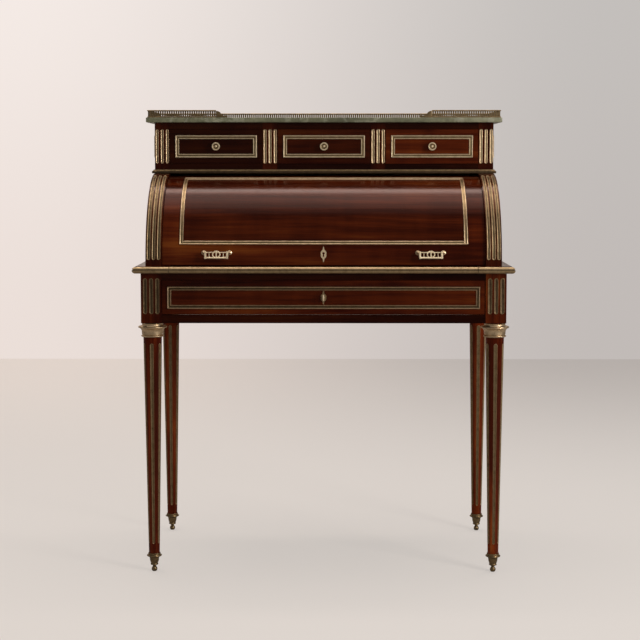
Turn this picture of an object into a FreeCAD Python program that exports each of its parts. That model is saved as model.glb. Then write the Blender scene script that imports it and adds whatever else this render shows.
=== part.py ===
import FreeCAD, Part

import math
import os

from FreeCAD import Vector

# A mahogany cylinder desk with brass mounts and a marble top, in millimetres.
# X is across the desk, the front faces -Y and Z is up. The origin is on the floor under the
# middle of the table top.

# The table frame and its top
table_width = 920.0
table_depth = 500.0
leg_height = 615.0
apron_height = 121.0
top_thickness = 17.0
frame_side_setback = 19.0
frame_front_setback = 20.0
frame_back_setback = 10.0
post_size = 50.0
edge_depth = 8.0
edge_height = 16.0
apron_board = 20.0
apron_setback = 3.0
rail_setback = 1.5
rail_thickness = 22.0
upper_rail_height = 16.5
lower_rail_height = 20.5

# The legs with their capitals and sabots
leg_top_radius = 22.5
leg_foot_radius = 13.25
leg_core_radius = 18.0
neck_radius = 24.0
neck_height = 2.0
capital_height = 33.0
capital_radius = 35.0
sabot_height = 46.0
sabot_radius = 18.5
foot_tenon_radius = 7.0
foot_tenon_length = 22.0
leg_flute_count = 6
leg_flute_low_width = 6.0
leg_flute_high_width = 9.0
leg_flute_low_gap = 26.0
leg_flute_high_gap = 15.0

# The flutes of the posts, cheeks and pilasters, and their brass linings
flute_depth = 3.0
lining = 0.8
flute_row_count = 3
flute_end_sides = 3
post_flute_width = 10.0
post_flute_pitch = 14.8
post_flute_low_gap = 22.0
post_flute_high_gap = 12.0
cheek_flute_width = 8.5
cheek_flute_pitch = 12.3
cheek_flute_start_angle = 3.0
cheek_flute_end_angle = 76.0
pilaster_flute_width = 7.5
pilaster_flute_pitch = 13.0
pilaster_flute_low_gap = 15.0
pilaster_flute_high_gap = 17.0

# The case above the table
case_side_setback = 29.0
case_back_setback = 14.0
cheek_thickness = 39.0
cheek_reveal = 7.0
axis_rise = 7.0
back_thickness = 12.0
floor_thickness = 10.0
drawer_bed_thickness = 14.0
upper_case_height = 129.0
upper_top_thickness = 16.5
side_board = 20.0
pilaster_width = 37.5
pilaster_depth = 20.0
divider_thickness = 20.0
bed_setback = 1.0
ledge_depth = 7.0
marble_overhang = 20.0
marble_back_overhang = 9.0
marble_thickness = 14.0
marble_round = 4.0

# The pierced gallery
gallery_height = 17.0
gallery_inset = 3.0
gallery_rail_width = 5.0
gallery_rail_height = 2.5
gallery_base_height = 2.0
gallery_plate = 1.6
gallery_pitch = 6.3
gallery_slot_width = 3.4
gallery_slot_gap = 1.2
gallery_return = 176.0
scroll_length = 30.0
scroll_curl_radius = 3.2

# The cylinder that closes the desk
cylinder_setback = 42.0
shell_thickness = 16.0
shell_end_gap = 1.0
shell_bottom_gap = 1.2
shell_top_angle = 92.0
cylinder_frame_side_margin = 41.0
cylinder_frame_low_rise = 43.2
cylinder_frame_end_angle = 76.0
cylinder_frame_band = 10.5
cylinder_frame_rise = 3.0
arm_thickness = 4.0
arm_rim = 8.0
arm_width = 12.0
arm_low_angle = 10.0
arm_high_angle = 86.0
arm_rim_margin = 3.0
hub_radius = 5.8
stud_radius = 4.0
stud_length = 12.0
cylinder_lock_width = 70.0
cylinder_lock_height = 34.0
cylinder_lock_depth = 11.0
cylinder_lock_angle = 7.0

# The two bail handles of the cylinder
handle_inset = 91.0
handle_rise = 24.0
handle_span = 62.0
handle_pivot_rise = 14.0
handle_rosette_radius = 6.5
handle_rosette_height = 2.5
handle_stem_radius = 3.2
handle_head_radius = 4.2
bail_rod_radius = 1.5
bail_bar_radius = 2.0
bail_drop = 10.5
bail_block = 4.5
bail_block_x = 24.0
bail_ring_half_width = 10.1
bail_ring_half_height = 9.1
bail_ring_band = 3.2
bail_ring_drop = 5.5
bail_tilt_angle = 20.0

# The writing slide
slide_side_inset = 21.5
slide_drop = 1.5
slide_gap = 0.4
tongue_depth = 5.5
tongue_height = 6.0
tongue_rise = 4.0
tongue_length = 82.0
leather_side_margin = 42.0
leather_front_margin = 40.0
leather_back_margin = 30.0
leather_thickness = 1.5

# The frame mouldings of the drawers and sides
frame_band = 9.5
frame_rise = 4.0

# The wide drawer of the apron
drawer_gap = 1.0
running_gap = 0.4
apron_front_thickness = 22.0
apron_front_setback = 3.0
apron_frame_margin = 12.5
apron_frame_height = 54.5
apron_frame_drop = 32.0
apron_side_thickness = 12.0
apron_side_height = 66.0
apron_box_room = 72.0
drawer_bottom_thickness = 6.0
drawer_bottom_rise = 5.0
runner_thickness = 12.0
runner_reach = 19.0
guide_height = 15.0

# The three drawers of the upper case
upper_front_thickness = 16.0
upper_frame_side_margin = 14.7
upper_frame_end_margin = 15.75
upper_side_thickness = 8.0
upper_side_height = 68.0
upper_box_room = 27.0
knob_radius = 10.5
knob_reach = 17.0

# The nest of two small drawers and a niche behind the cylinder
nest_side_gap = 12.0
nest_shell_gap = 17.6
nest_depth = 114.0
nest_height = 60.0
nest_board = 8.0
inner_front_thickness = 8.0
inner_side_thickness = 5.0
inner_side_height = 34.0
inner_knob_radius = 5.0
inner_knob_reach = 9.0

# The lock of the apron drawer, with its bolt and key
key_drop = 59.0
lock_half_width = 30.0
lock_depth = 12.0
lock_wall = 2.0
lock_foot = 22.0
bolt_half_width = 12.0
bolt_thickness = 5.0
bolt_travel = 6.0
bolt_gap = 0.4
bolt_rise = 4.2
key_shaft_radius = 2.5
bore_gap = 0.05
key_bit_reach = 9.5
key_bit_thickness = 2.5
key_bit_width = 5.0
key_bow_radius = 8.7
key_bow_band = 3.4
key_reach = 21.0
chamber_radius = 11.0
keyhole_radius = 3.6
keyhole_slot = 4.2
escutcheon_width = 15.0
escutcheon_height = 34.5
escutcheon_thickness = 1.5
cylinder_escutcheon_height = 39.0
cylinder_escutcheon_rise = 20.5

# What a cutter reaches past the face that it cuts
overrun = 1.0
# Points closer than this are one point
joined = 0.000001
# The straight chords that stand for a small arc, and the straight sides of a small ring
arc_chords = 2
ring_sides = 16
mount_sides = 16
leg_sides = 24

# Places worked out from the sizes above
table_front = -table_depth / 2
table_back = table_depth / 2
apron_top = leg_height + apron_height
table_height = apron_top + top_thickness
post_outer = table_width / 2 - frame_side_setback
post_inner = post_outer - post_size
post_front = table_front + frame_front_setback
post_back = table_back - frame_back_setback
leg_x = post_outer - post_size / 2
front_leg_y = post_front + post_size / 2
back_leg_y = post_back - post_size / 2
board_outer = table_width / 2 - edge_depth
board_front = table_front + edge_depth
board_back = table_back - edge_depth
capital_bottom = leg_height - neck_height - capital_height
rail_front = post_front + rail_setback
drawer_top = apron_top - upper_rail_height
drawer_bottom = leg_height + lower_rail_height
apron_side_outer = post_outer - apron_setback
apron_side_inner = apron_side_outer - apron_board
apron_back_front = post_back - apron_setback - apron_board
slide_bottom = apron_top + slide_gap
slide_top = table_height - slide_drop

axis_z = table_height + axis_rise
case_outer = table_width / 2 - case_side_setback
cheek_inner = case_outer - cheek_thickness
case_back = table_back - case_back_setback
shell_radius = table_depth / 2 - cylinder_setback
shell_inner = shell_radius - shell_thickness
shell_half = cheek_inner - shell_end_gap
cheek_radius = shell_radius + cheek_reveal
cheek_top = axis_z + cheek_radius
floor_top = cheek_top + floor_thickness
bed_top = floor_top + drawer_bed_thickness
case_top = cheek_top + upper_case_height
upper_opening_top = case_top - upper_top_thickness
marble_top = case_top + marble_thickness
end_pilaster_inner = case_outer - pilaster_width
upper_bay_width = (2 * case_outer - 4 * pilaster_width) / 3
middle_pilaster_x = (upper_bay_width + pilaster_width) / 2
upper_frame_width = upper_bay_width - 2 * upper_frame_side_margin
upper_frame_height = upper_opening_top - bed_top - 2 * upper_frame_end_margin
shell_low_angle = -math.degrees(math.asin((axis_rise - shell_bottom_gap) / shell_radius))
cylinder_frame_half_width = shell_half - cylinder_frame_side_margin
cylinder_frame_start_angle = math.degrees(math.asin(cylinder_frame_low_rise / shell_radius))
handle_x = cylinder_frame_half_width - handle_inset
handle_angle = math.degrees(math.asin(handle_rise / shell_radius))

nest_half_width = cheek_inner - nest_side_gap
nest_bay_width = (2 * nest_half_width - 4 * nest_board) / 3
nest_back = shell_inner - nest_shell_gap
nest_front = nest_back - nest_depth
slide_half = cheek_inner - slide_side_inset
slide_back = nest_front - slide_gap

front_face = post_front + apron_front_setback
key_z = apron_top - key_drop
lock_front = front_face + apron_front_thickness
lock_back = lock_front + lock_depth
front_top = drawer_top - drawer_gap

# Outlines, as shares of the width and height of the piece that they shape
edge_shares = [
    (0, 0), (0.5, 0), ((0.86, 0.06), (1, 0.2)), (1, 0.3), ((0.86, 0.5), (1, 0.7)), (1, 0.8),
    ((0.86, 0.94), (0.5, 1)), (0, 1),
]
frame_shares = [
    (0, 0), (0, 0.58), ((0.17, 1), (0.34, 0.58)), ((0.6, 0.2), (0.86, 0.45)), (1, 0.45), (1, 0),
]
ledge_shares = [(0, 0), (1, 0), (1, 0.35), ((0.5, 0.55), (0.25, 1)), (0, 1)]
capital_shares = [
    (0, 0), (0.79, 0), ((0.82, 0.08), (0.79, 0.16)), (0.72, 0.16), (0.72, 0.28), (0.76, 0.28),
    (0.76, 0.66), ((0.8, 0.84), (1, 0.92)), (1, 1), (0, 1),
]
sabot_shares = [
    (0, 0), (0.245, 0), ((0.4, 0.17), (0.25, 0.33)), ((0.56, 0.42), (0.48, 0.5)), (0.78, 0.82),
    (1, 0.88), (1, 0.93), (0.79, 0.97), (0.79, 1), (0, 1),
]
knob_shares = [
    (0, 0), (0.55, 0), ((0.32, 0.4), (0.5, 0.6)), ((0.95, 0.68), (1, 0.86)), (0.76, 0.92), (0, 0.78),
]
inner_knob_shares = [(0, 0), (0.45, 0), (0.45, 0.5), (1, 0.7), (1, 0.9), (0, 1)]
escutcheon_shares = [
    (0, 0), ((0.3, 0.04), (0.34, 0.16)), (0.2, 0.24), ((0.46, 0.4), (0.4, 0.62)),
    ((0.28, 0.68), (0.24, 0.76)), (0.48, 0.86), ((0.3, 0.96), (0, 1)),
]
scroll_shares = [
    (0, 0), (1, 0), (1, 0.22), ((0.62, 0.34), (0.42, 0.66)), ((0.25, 0.92), (0, 1)),
]

origin = Vector(0, 0, 0)
across = Vector(1, 0, 0)
forward = Vector(0, -1, 0)
upright = Vector(0, 0, 1)
cylinder_axis = Vector(0, 0, axis_z)


def block(x, y, z):
    """A squared board from three pairs of low and high places."""
    return Part.makeBox(x[1] - x[0], y[1] - y[0], z[1] - z[0], Vector(x[0], y[0], z[0]))


def centred(width):
    return (-width / 2, width / 2)


def mirrored(shape):
    return shape.mirror(origin, across)


def both_sides(shape):
    return [shape, mirrored(shape)]


def wire(points, place, chords=0):
    """A closed wire. Each point is a pair of numbers, or an arc's middle and end, put in space by place.
    The arcs are kept round, or each is drawn as the number of chords asked for."""
    first = here = place(*points[0])
    edges = []
    for point in points[1:]:
        if isinstance(point[0], tuple):
            end = place(*point[1])
            arc = Part.Arc(here, place(*point[0]), end).toShape()
            corners = arc.discretize(chords + 1) if chords else []
            edges += [Part.makeLine(a, b) for a, b in zip(corners, corners[1:])] or [arc]
        else:
            end = place(*point)
            edges.append(Part.makeLine(here, end))
        here = end
    if here.distanceToPoint(first) > joined:
        edges.append(Part.makeLine(here, first))
    return Part.Wire(edges)


def rim_point(point, step, sides):
    """A point of an outline in the plane of X and Z, swung round the upright line by some of the sides."""
    turn = 2 * math.pi * step / sides
    return Vector(point.x * math.cos(turn), point.x * math.sin(turn), point.z)


def turned(points, radius=1, height=1, sides=mount_sides):
    """A piece turned about the upright line through the origin, from points or shares of its outline.
    Its round is drawn as flat sides, because the small turned pieces are many."""
    half_section = wire(points, lambda r, z: Vector(r * radius, 0, z * height), arc_chords)
    outline = [corner.Point for corner in half_section.OrderedVertexes]
    faces = []
    for low, high in zip(outline, outline[1:]):
        for step in range(sides):
            corners = [rim_point(low, step, sides), rim_point(high, step, sides)]
            corners += [rim_point(high, step + 1, sides)] if high.x > joined else []
            corners += [rim_point(low, step + 1, sides)] if low.x > joined else []
            faces.append(Part.Face(Part.makePolygon(corners + corners[:1])))
    shell = Part.makeShell(faces)
    shell.sewShape()
    return Part.makeSolid(shell).removeSplitter()


def moulding(path, shares, width, height, outward, up, chords=0):
    """Mitred lengths along a path of points, with the section standing at its first point."""
    lines = [Part.makeLine(a, b) for a, b in zip(path, path[1:])]
    start = path[0]
    section = wire(shares, lambda u, v: start + outward * (u * width) + up * (v * height), chords)
    return Part.Wire(lines).makePipeShell([section], True, False, 1)


def face_frame(width, height, centre, face_x, face_normal):
    """A rectangular frame moulding that lies on a flat face."""
    left, down = face_x * (-width / 2), upright * (-height / 2)
    corners = [down, down - left, -down - left, left - down, left + down, down]
    path = [centre + corner for corner in corners]
    return moulding(path, frame_shares, frame_band, frame_rise, upright, face_normal, arc_chords)


def slot_points(length, low_radius, high_radius, inset):
    """A slot with rounded ends, from its low end at 0 up to its length, drawn in by the inset."""
    points = []
    ends = [(high_radius, length - high_radius, 0), (low_radius, low_radius, math.pi)]
    for radius, centre, start in ends:
        for step in range(flute_end_sides + 1):
            angle = start + math.pi * step / flute_end_sides
            reach = radius - inset
            points.append((reach * math.cos(angle), centre + reach * math.sin(angle)))
    return points


def slot_block(length, low_radius, high_radius, inset, front, back):
    """The slot as a solid between two depths behind the face, which looks towards -Y."""
    points = slot_points(length, low_radius, high_radius, inset)
    outline = wire(points, lambda x, z: Vector(x, front, z))
    return Part.Face(outline).extrude(Vector(0, back - front, 0))


def flute(length, low_width, high_width):
    """The brass lining of a straight flute and the cutter of its channel."""
    low, high = low_width / 2, high_width / 2
    cutter = slot_block(length, low, high, 0, -overrun, flute_depth)
    hollow = slot_block(length, low, high, lining, -overrun, flute_depth - lining)
    tray = slot_block(length, low, high, 0, 0, flute_depth).cut(hollow)
    return tray, cutter


def row_places(count, pitch):
    return [(index - (count - 1) / 2) * pitch for index in range(count)]


def leg_flutes():
    """Six linings and six cutters round a leg that stands on the origin."""
    low_z, high_z = sabot_height + leg_flute_low_gap, capital_bottom - leg_flute_high_gap
    taper = (leg_top_radius - leg_foot_radius) / (capital_bottom - sabot_height)
    low_radius = leg_foot_radius + taper * (low_z - sabot_height)
    sunk = math.sqrt(low_radius ** 2 - (leg_flute_low_width / 2) ** 2)
    tilt = math.degrees(math.atan(taper))
    length = (high_z - low_z) / math.cos(math.atan(taper))
    linings, cutters = [], []
    for shape, found in zip(flute(length, leg_flute_low_width, leg_flute_high_width), (linings, cutters)):
        leaning = shape.copy()
        leaning.rotate(origin, across, tilt)
        leaning.translate(Vector(0, -sunk, low_z))
        for index in range(leg_flute_count):
            turned_copy = leaning.copy()
            turned_copy.rotate(origin, upright, 360 * index / leg_flute_count)
            found.append(turned_copy)
    return linings, cutters


def turned_leg(cutters):
    """The turned part of a leg, with its foot tenon, tapered shaft, core and neck."""
    neck_bottom = leg_height - neck_height
    points = [
        (0, sabot_height - foot_tenon_length), (foot_tenon_radius, sabot_height - foot_tenon_length),
        (foot_tenon_radius, sabot_height), (leg_foot_radius, sabot_height),
        (leg_top_radius, capital_bottom), (leg_core_radius, capital_bottom),
        (leg_core_radius, neck_bottom), (neck_radius, neck_bottom), (neck_radius, leg_height),
        (0, leg_height),
    ]
    return turned(points, sides=leg_sides).cut(cutters)


def post_faces(front):
    """The fluted faces of the left post, as turns of a flute that looks towards -Y."""
    return (0, -90) if front else (-90,)


def post_flutes(leg_y, front):
    """Linings and cutters on the outer faces of the left post."""
    low_z = leg_height + post_flute_low_gap
    length = apron_height - post_flute_low_gap - post_flute_high_gap
    linings, cutters = [], []
    for shape, found in zip(flute(length, post_flute_width, post_flute_width), (linings, cutters)):
        for turn in post_faces(front):
            for place in row_places(flute_row_count, post_flute_pitch):
                copy = shape.translated(Vector(place, -post_size / 2, low_z))
                copy.rotate(origin, upright, turn)
                found.append(copy.translated(Vector(-leg_x, leg_y, 0)))
    return linings, cutters


def leg(leg_y, front):
    """The left leg, front or back: the square post and the turned leg in one piece of wood."""
    half = post_size / 2
    post = block((-leg_x - half, -leg_x + half), (leg_y - half, leg_y + half), (leg_height, apron_top))
    round_part = turned_leg(leg_flutes()[1]).translated(Vector(-leg_x, leg_y, 0))
    return post.cut(post_flutes(leg_y, front)[1]).fuse(round_part)


def leg_places():
    return [Vector(x, y, 0) for x in (-leg_x, leg_x) for y in (front_leg_y, back_leg_y)]


def capital():
    bore = Part.makeCylinder(leg_core_radius, capital_height)
    collar = turned(capital_shares, capital_radius, capital_height).cut(bore)
    return collar.translated(Vector(0, 0, capital_bottom))


def sabot():
    """The brass cup on the foot of a leg, bored for the leg's tenon."""
    bore_foot = Vector(0, 0, sabot_height - foot_tenon_length)
    bore = Part.makeCylinder(foot_tenon_radius + bore_gap, foot_tenon_length, bore_foot)
    return turned(sabot_shares, sabot_radius, sabot_height).cut(bore)


def on_legs(shape):
    return [shape.translated(place) for place in leg_places()]


def all_leg_linings():
    linings = Part.makeCompound(leg_flutes()[0])
    return [solid for copy in on_legs(linings) for solid in copy.Solids]


def all_post_linings():
    left = post_flutes(front_leg_y, True)[0] + post_flutes(back_leg_y, False)[0]
    return left + [mirrored(tray) for tray in left]


def apron_sides():
    y = (post_front + post_size, post_back - post_size)
    return both_sides(block((-apron_side_outer, -apron_side_inner), y, (leg_height, apron_top)))


def apron_back():
    y = (apron_back_front, apron_back_front + apron_board)
    return [block(centred(2 * post_inner), y, (leg_height, apron_top))]


def front_rails():
    """The rails above and below the wide drawer. The upper one is mortised for the bolt."""
    x, y = centred(2 * post_inner), (rail_front, rail_front + rail_thickness)
    upper = block(x, y, (drawer_top, apron_top))
    mortise = block(
        centred(2 * (bolt_half_width + bolt_gap)), bolt_y(bolt_gap),
        (drawer_top - overrun, drawer_top + bolt_travel + bolt_gap),
    )
    return [upper.cut(mortise), block(x, y, (leg_height, drawer_bottom))]


def drawer_runners():
    """On each side a runner with its guide under the wide drawer, and a kicker above it."""
    y = (post_front + post_size, post_back - post_size)
    inner, guide_inner = post_inner - runner_reach, post_inner - drawer_gap + running_gap
    runner = block((-apron_side_inner, -inner), y, (drawer_bottom - runner_thickness, drawer_bottom))
    guide = block((-apron_side_inner, -guide_inner), y, (drawer_bottom, drawer_bottom + guide_height))
    kicker = block((-apron_side_inner, -inner), y, (drawer_top, apron_top))
    return both_sides(runner.fuse(guide)) + both_sides(kicker)


def side_frames():
    """The brass frames on the sides of the apron and of the upper case."""
    apron_y = (post_front + post_back) / 2
    apron_width = post_back - post_front - 2 * post_size - 2 * frame_band
    apron_z = apron_top - apron_frame_drop - apron_frame_height / 2
    on_apron = face_frame(
        apron_width, apron_frame_height, Vector(-apron_side_outer, apron_y, apron_z), forward, -across,
    )
    case_y, case_z = case_back / 2, (bed_top + upper_opening_top) / 2
    on_case = face_frame(
        case_back - 2 * pilaster_depth, upper_frame_height, Vector(-case_outer, case_y, case_z),
        forward, -across,
    )
    return both_sides(on_apron) + both_sides(on_case)


def tongue_z(gap):
    return (slide_bottom + tongue_rise - gap, slide_bottom + tongue_rise + tongue_height + gap)


def top_sides():
    """The fixed boards left and right of the writing slide, grooved for its tongues."""
    inner = slide_half + slide_gap
    board = block((-board_outer, -inner), (board_front, board_back), (apron_top, table_height))
    groove_outer = slide_half + tongue_depth + slide_gap
    groove_y = (board_front, slide_back + slide_gap)
    groove = block((-groove_outer, -inner + overrun), groove_y, tongue_z(slide_gap))
    return both_sides(board.cut(groove))


def top_back():
    y = (slide_back + slide_gap, board_back)
    return [block(centred(2 * (slide_half + slide_gap)), y, (apron_top, table_height))]


def top_edge():
    """The brass edge of the fixed boards, mitred round both front corners, the sides and the back."""
    start = -slide_half - slide_gap
    path = [
        Vector(start, board_front, apron_top), Vector(-board_outer, board_front, apron_top),
        Vector(-board_outer, board_back, apron_top), Vector(board_outer, board_back, apron_top),
        Vector(board_outer, board_front, apron_top), Vector(-start, board_front, apron_top),
    ]
    return [moulding(path, edge_shares, edge_depth, edge_height, forward, upright)]


def slide_edge():
    start = Vector(-slide_half, board_front, apron_top)
    section = wire(
        edge_shares, lambda u, v: start + forward * (u * edge_depth) + upright * (v * edge_height),
    )
    edge = Part.Face(section).extrude(Vector(2 * slide_half, 0, 0))
    under_y = (table_front - overrun, board_front + overrun)
    return [edge.cut(block(centred(table_width), under_y, (leg_height, slide_bottom)))]


def leather_box(top):
    x = centred(2 * (slide_half - leather_side_margin))
    y = (board_front + leather_front_margin, slide_back - leather_back_margin)
    return block(x, y, (slide_top - leather_thickness, top))


def slide_board():
    """The writing slide, with a tongue on each side near its back and a recess for the leather."""
    board = block(centred(2 * slide_half), (board_front, slide_back), (slide_bottom, slide_top))
    tongues = block(
        centred(2 * (slide_half + tongue_depth)), (slide_back - tongue_length, slide_back), tongue_z(0),
    )
    return [board.fuse(tongues).cut(leather_box(slide_top + overrun))]


def cylinder_point(x, radius):
    """A place in front of the cylinder's axis, at the level of the axis."""
    return Vector(x, -radius, axis_z)


def swung(shape, angle):
    """The shape turned up and back about the cylinder's axis."""
    copy = shape.copy()
    copy.rotate(cylinder_axis, -across, angle)
    return copy


def cylinder_sweep(x, radii, angles):
    """A part of a tube about the cylinder's axis, between two places across, two radii and two angles."""
    corners = [(x[0], radii[0]), (x[1], radii[0]), (x[1], radii[1]), (x[0], radii[1])]
    section = swung(Part.Face(wire(corners, cylinder_point)), angles[0])
    return section.revolve(cylinder_axis, -across, angles[1] - angles[0])


def cheek_blank():
    """The left cheek: a board with a quarter-round front, bored for the stud of the cylinder's arm."""
    arc_share = math.sqrt(0.5)
    points = [
        (case_back, table_height), (case_back, cheek_top), (0, cheek_top),
        ((-cheek_radius * arc_share, axis_z + cheek_radius * arc_share), (-cheek_radius, axis_z)),
        (-cheek_radius, table_height),
    ]
    outline = wire(points, lambda y, z: Vector(-case_outer, y, z))
    board = Part.Face(outline).extrude(Vector(cheek_thickness, 0, 0))
    bore_end = Vector(-cheek_inner - stud_length + shell_end_gap, 0, axis_z)
    return board.cut(Part.makeCylinder(stud_radius + bore_gap, stud_length, bore_end, across))


def flute_end(radius, inset, front, back, turn, angle, x):
    """The rounded end of a curved flute, as half of a slot, swung to its angle."""
    half = Part.Face(wire(
        [(radius - inset, 0)] + [
            ((radius - inset) * math.cos(math.pi * step / flute_end_sides),
             (radius - inset) * math.sin(math.pi * step / flute_end_sides))
            for step in range(1, flute_end_sides + 1)
        ],
        lambda u, w: Vector(x + u, front - cheek_radius, axis_z + turn * w),
    )).extrude(Vector(0, back - front, 0))
    return swung(half, angle)


def curved_slot(x, inset, front, back):
    """A slot that follows the quarter-round front of a cheek, between two depths behind it."""
    radius = cheek_flute_width / 2
    reach = (x - radius + inset, x + radius - inset)
    angles = (cheek_flute_start_angle, cheek_flute_end_angle)
    middle = cylinder_sweep(reach, (cheek_radius - back, cheek_radius - front), angles)
    low = flute_end(radius, inset, front, back, -1, angles[0], x)
    high = flute_end(radius, inset, front, back, 1, angles[1], x)
    return middle.fuse([low, high])


def cheek_flutes():
    """Linings and cutters of the three curved flutes of the left cheek."""
    linings, cutters = [], []
    for place in row_places(flute_row_count, cheek_flute_pitch):
        x = place - case_outer + cheek_thickness / 2
        hollow = curved_slot(x, lining, -overrun, flute_depth - lining)
        linings.append(curved_slot(x, 0, 0, flute_depth).cut(hollow))
        cutters.append(curved_slot(x, 0, -overrun, flute_depth))
    return linings, cutters


def back_panel():
    y = (case_back - back_thickness, case_back)
    lower = block(centred(2 * cheek_inner), y, (table_height, cheek_top))
    upper = block(centred(2 * (case_outer - side_board)), y, (floor_top, case_top))
    return [lower, upper]


def upper_floor():
    return [block(centred(2 * case_outer), (0, case_back), (cheek_top, floor_top))]


def upper_sides():
    x = (-case_outer, -case_outer + side_board)
    return both_sides(block(x, (pilaster_depth, case_back), (floor_top, case_top)))


def pilaster_places():
    end_x = case_outer - pilaster_width / 2
    return [-end_x, -middle_pilaster_x, middle_pilaster_x, end_x]


def drawer_board(low_z, high_z):
    """A board across the upper case, notched round the pilasters."""
    y = (bed_setback, case_back - back_thickness)
    board = block(centred(2 * (case_outer - side_board)), y, (low_z, high_z))
    notch = block(centred(pilaster_width), (0, pilaster_depth), (low_z - overrun, high_z + overrun))
    return [board.cut([notch.translated(Vector(x, 0, 0)) for x in pilaster_places()])]


def dividers():
    """The upright boards between the three upper drawers, behind the middle pilasters."""
    x = (-middle_pilaster_x - divider_thickness / 2, -middle_pilaster_x + divider_thickness / 2)
    y = (pilaster_depth, case_back - back_thickness)
    return both_sides(block(x, y, (bed_top, upper_opening_top)))


def pilaster_flutes():
    """Linings and cutters of a pilaster whose foot is at the origin."""
    length = case_top - floor_top - pilaster_flute_low_gap - pilaster_flute_high_gap
    linings, cutters = [], []
    for shape, found in zip(flute(length, pilaster_flute_width, pilaster_flute_width), (linings, cutters)):
        for place in row_places(flute_row_count, pilaster_flute_pitch):
            found.append(shape.translated(Vector(place, 0, pilaster_flute_low_gap)))
    return linings, cutters


def on_pilasters(shapes):
    return [shape.translated(Vector(x, 0, floor_top)) for x in pilaster_places() for shape in shapes]


def pilasters():
    block_shape = block(centred(pilaster_width), (0, pilaster_depth), (0, case_top - floor_top))
    return on_pilasters([block_shape.cut(pilaster_flutes()[1])])


def ledge():
    """The stepped brass-topped moulding round the foot of the upper case."""
    path = [
        Vector(-case_outer, case_back, cheek_top), Vector(-case_outer, 0, cheek_top),
        Vector(case_outer, 0, cheek_top), Vector(case_outer, case_back, cheek_top),
    ]
    return [moulding(path, ledge_shares, ledge_depth, floor_thickness, -across, upright)]


def marble():
    """The slab, with its upper and lower edges rounded."""
    half = case_outer + marble_overhang
    y = (-marble_overhang, case_back + marble_back_overhang)
    slab = block(centred(2 * half), y, (case_top, marble_top))
    level = [edge for edge in slab.Edges if abs(edge.BoundBox.ZLength) < joined]
    return [slab.makeFillet(marble_round, level)]


def on_plate(x, z):
    """A place on the front of a gallery length's pierced plate."""
    return Vector(x, -gallery_plate / 2, z)


def pierced_length(length):
    """A length of the gallery along X: a pierced plate between a base rail and a top rail."""
    low, high = gallery_base_height, gallery_height - gallery_rail_height
    corners = [(0, low), (length, low), (length, high), (0, high)]
    outlines = [wire(corners, on_plate)]
    count = int((length - gallery_slot_width) / gallery_pitch)
    margin = (length - (count - 1) * gallery_pitch) / 2
    slot_low, slot_high = low + gallery_slot_gap, high - gallery_slot_gap
    for index in range(count):
        left = margin + index * gallery_pitch - gallery_slot_width / 2
        right = left + gallery_slot_width
        corners = [(left, slot_low), (right, slot_low), (right, slot_high), (left, slot_high)]
        outlines.append(wire(corners, on_plate))
    pierced = Part.makeFace(outlines, "Part::FaceMakerBullseye")
    plate = pierced.extrude(Vector(0, gallery_plate, 0))
    rails = [
        block((0, length), centred(gallery_rail_width), z)
        for z in ((0, low), (high, gallery_height))
    ]
    return plate.fuse(rails)


def mitre(length, start, end):
    """The room of a length whose marked ends are cut at 45 degrees towards the inside of the corner."""
    half = gallery_rail_width / 2
    points = [
        (-half if start else 0, -half), (length + half if end else length, -half),
        (length - half if end else length, half), (half if start else 0, half),
    ]
    outline = wire(points, lambda x, y: Vector(x, y, 0))
    return Part.Face(outline).extrude(Vector(0, 0, gallery_height))


def gallery_length(length, start, end, turn, at):
    """One length with its mitred ends, turned and put on the marble."""
    half = gallery_rail_width / 2
    reach = (half if start else 0) + length + (half if end else 0)
    shape = pierced_length(reach).translated(Vector(-half if start else 0, 0, 0))
    shape = shape.common(mitre(length, start, end))
    shape.rotate(origin, upright, turn)
    return shape.translated(at)


def scroll_end():
    """The falling scroll that ends a front length, from its high end at the origin towards +X."""
    outline = wire(
        scroll_shares,
        lambda u, v: Vector(u * scroll_length, -gallery_rail_width / 2, v * gallery_height),
    )
    slope = Part.Face(outline).extrude(Vector(0, gallery_rail_width, 0))
    curl_end = Vector(scroll_length - scroll_curl_radius, gallery_rail_width / 2, scroll_curl_radius)
    curl = Part.makeCylinder(scroll_curl_radius, gallery_rail_width, curl_end, forward)
    return slope.fuse(curl)


def gallery():
    """Front returns with scrolls, two sides and the back, all standing on the marble's edge."""
    inset = gallery_inset + gallery_rail_width / 2
    x = case_outer + marble_overhang - inset
    front, back = -marble_overhang + inset, case_back + marble_back_overhang - inset
    corner = Vector(-x, front, marble_top)
    straight = gallery_return - scroll_length
    front_length = gallery_length(straight, True, False, 0, corner)
    scroll = scroll_end().translated(corner + Vector(straight, 0, 0))
    side = gallery_length(back - front, True, True, -90, Vector(-x, back, marble_top))
    rear = gallery_length(2 * x, True, True, 180, Vector(x, back, marble_top))
    return both_sides(front_length.fuse(scroll)) + both_sides(side) + [rear]


def cylinder_shell():
    angles = (shell_low_angle, shell_top_angle)
    return [cylinder_sweep(centred(2 * shell_half), (shell_inner, shell_radius), angles)]


def arm_spoke(angle):
    """A flat bar from the hub to the rim, at an angle above the level."""
    half = arm_width / 2
    x = (-shell_half, -shell_half + arm_thickness)
    bar = block(x, (-shell_inner + overrun, 0), (axis_z - half, axis_z + half))
    return swung(bar, angle)


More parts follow.
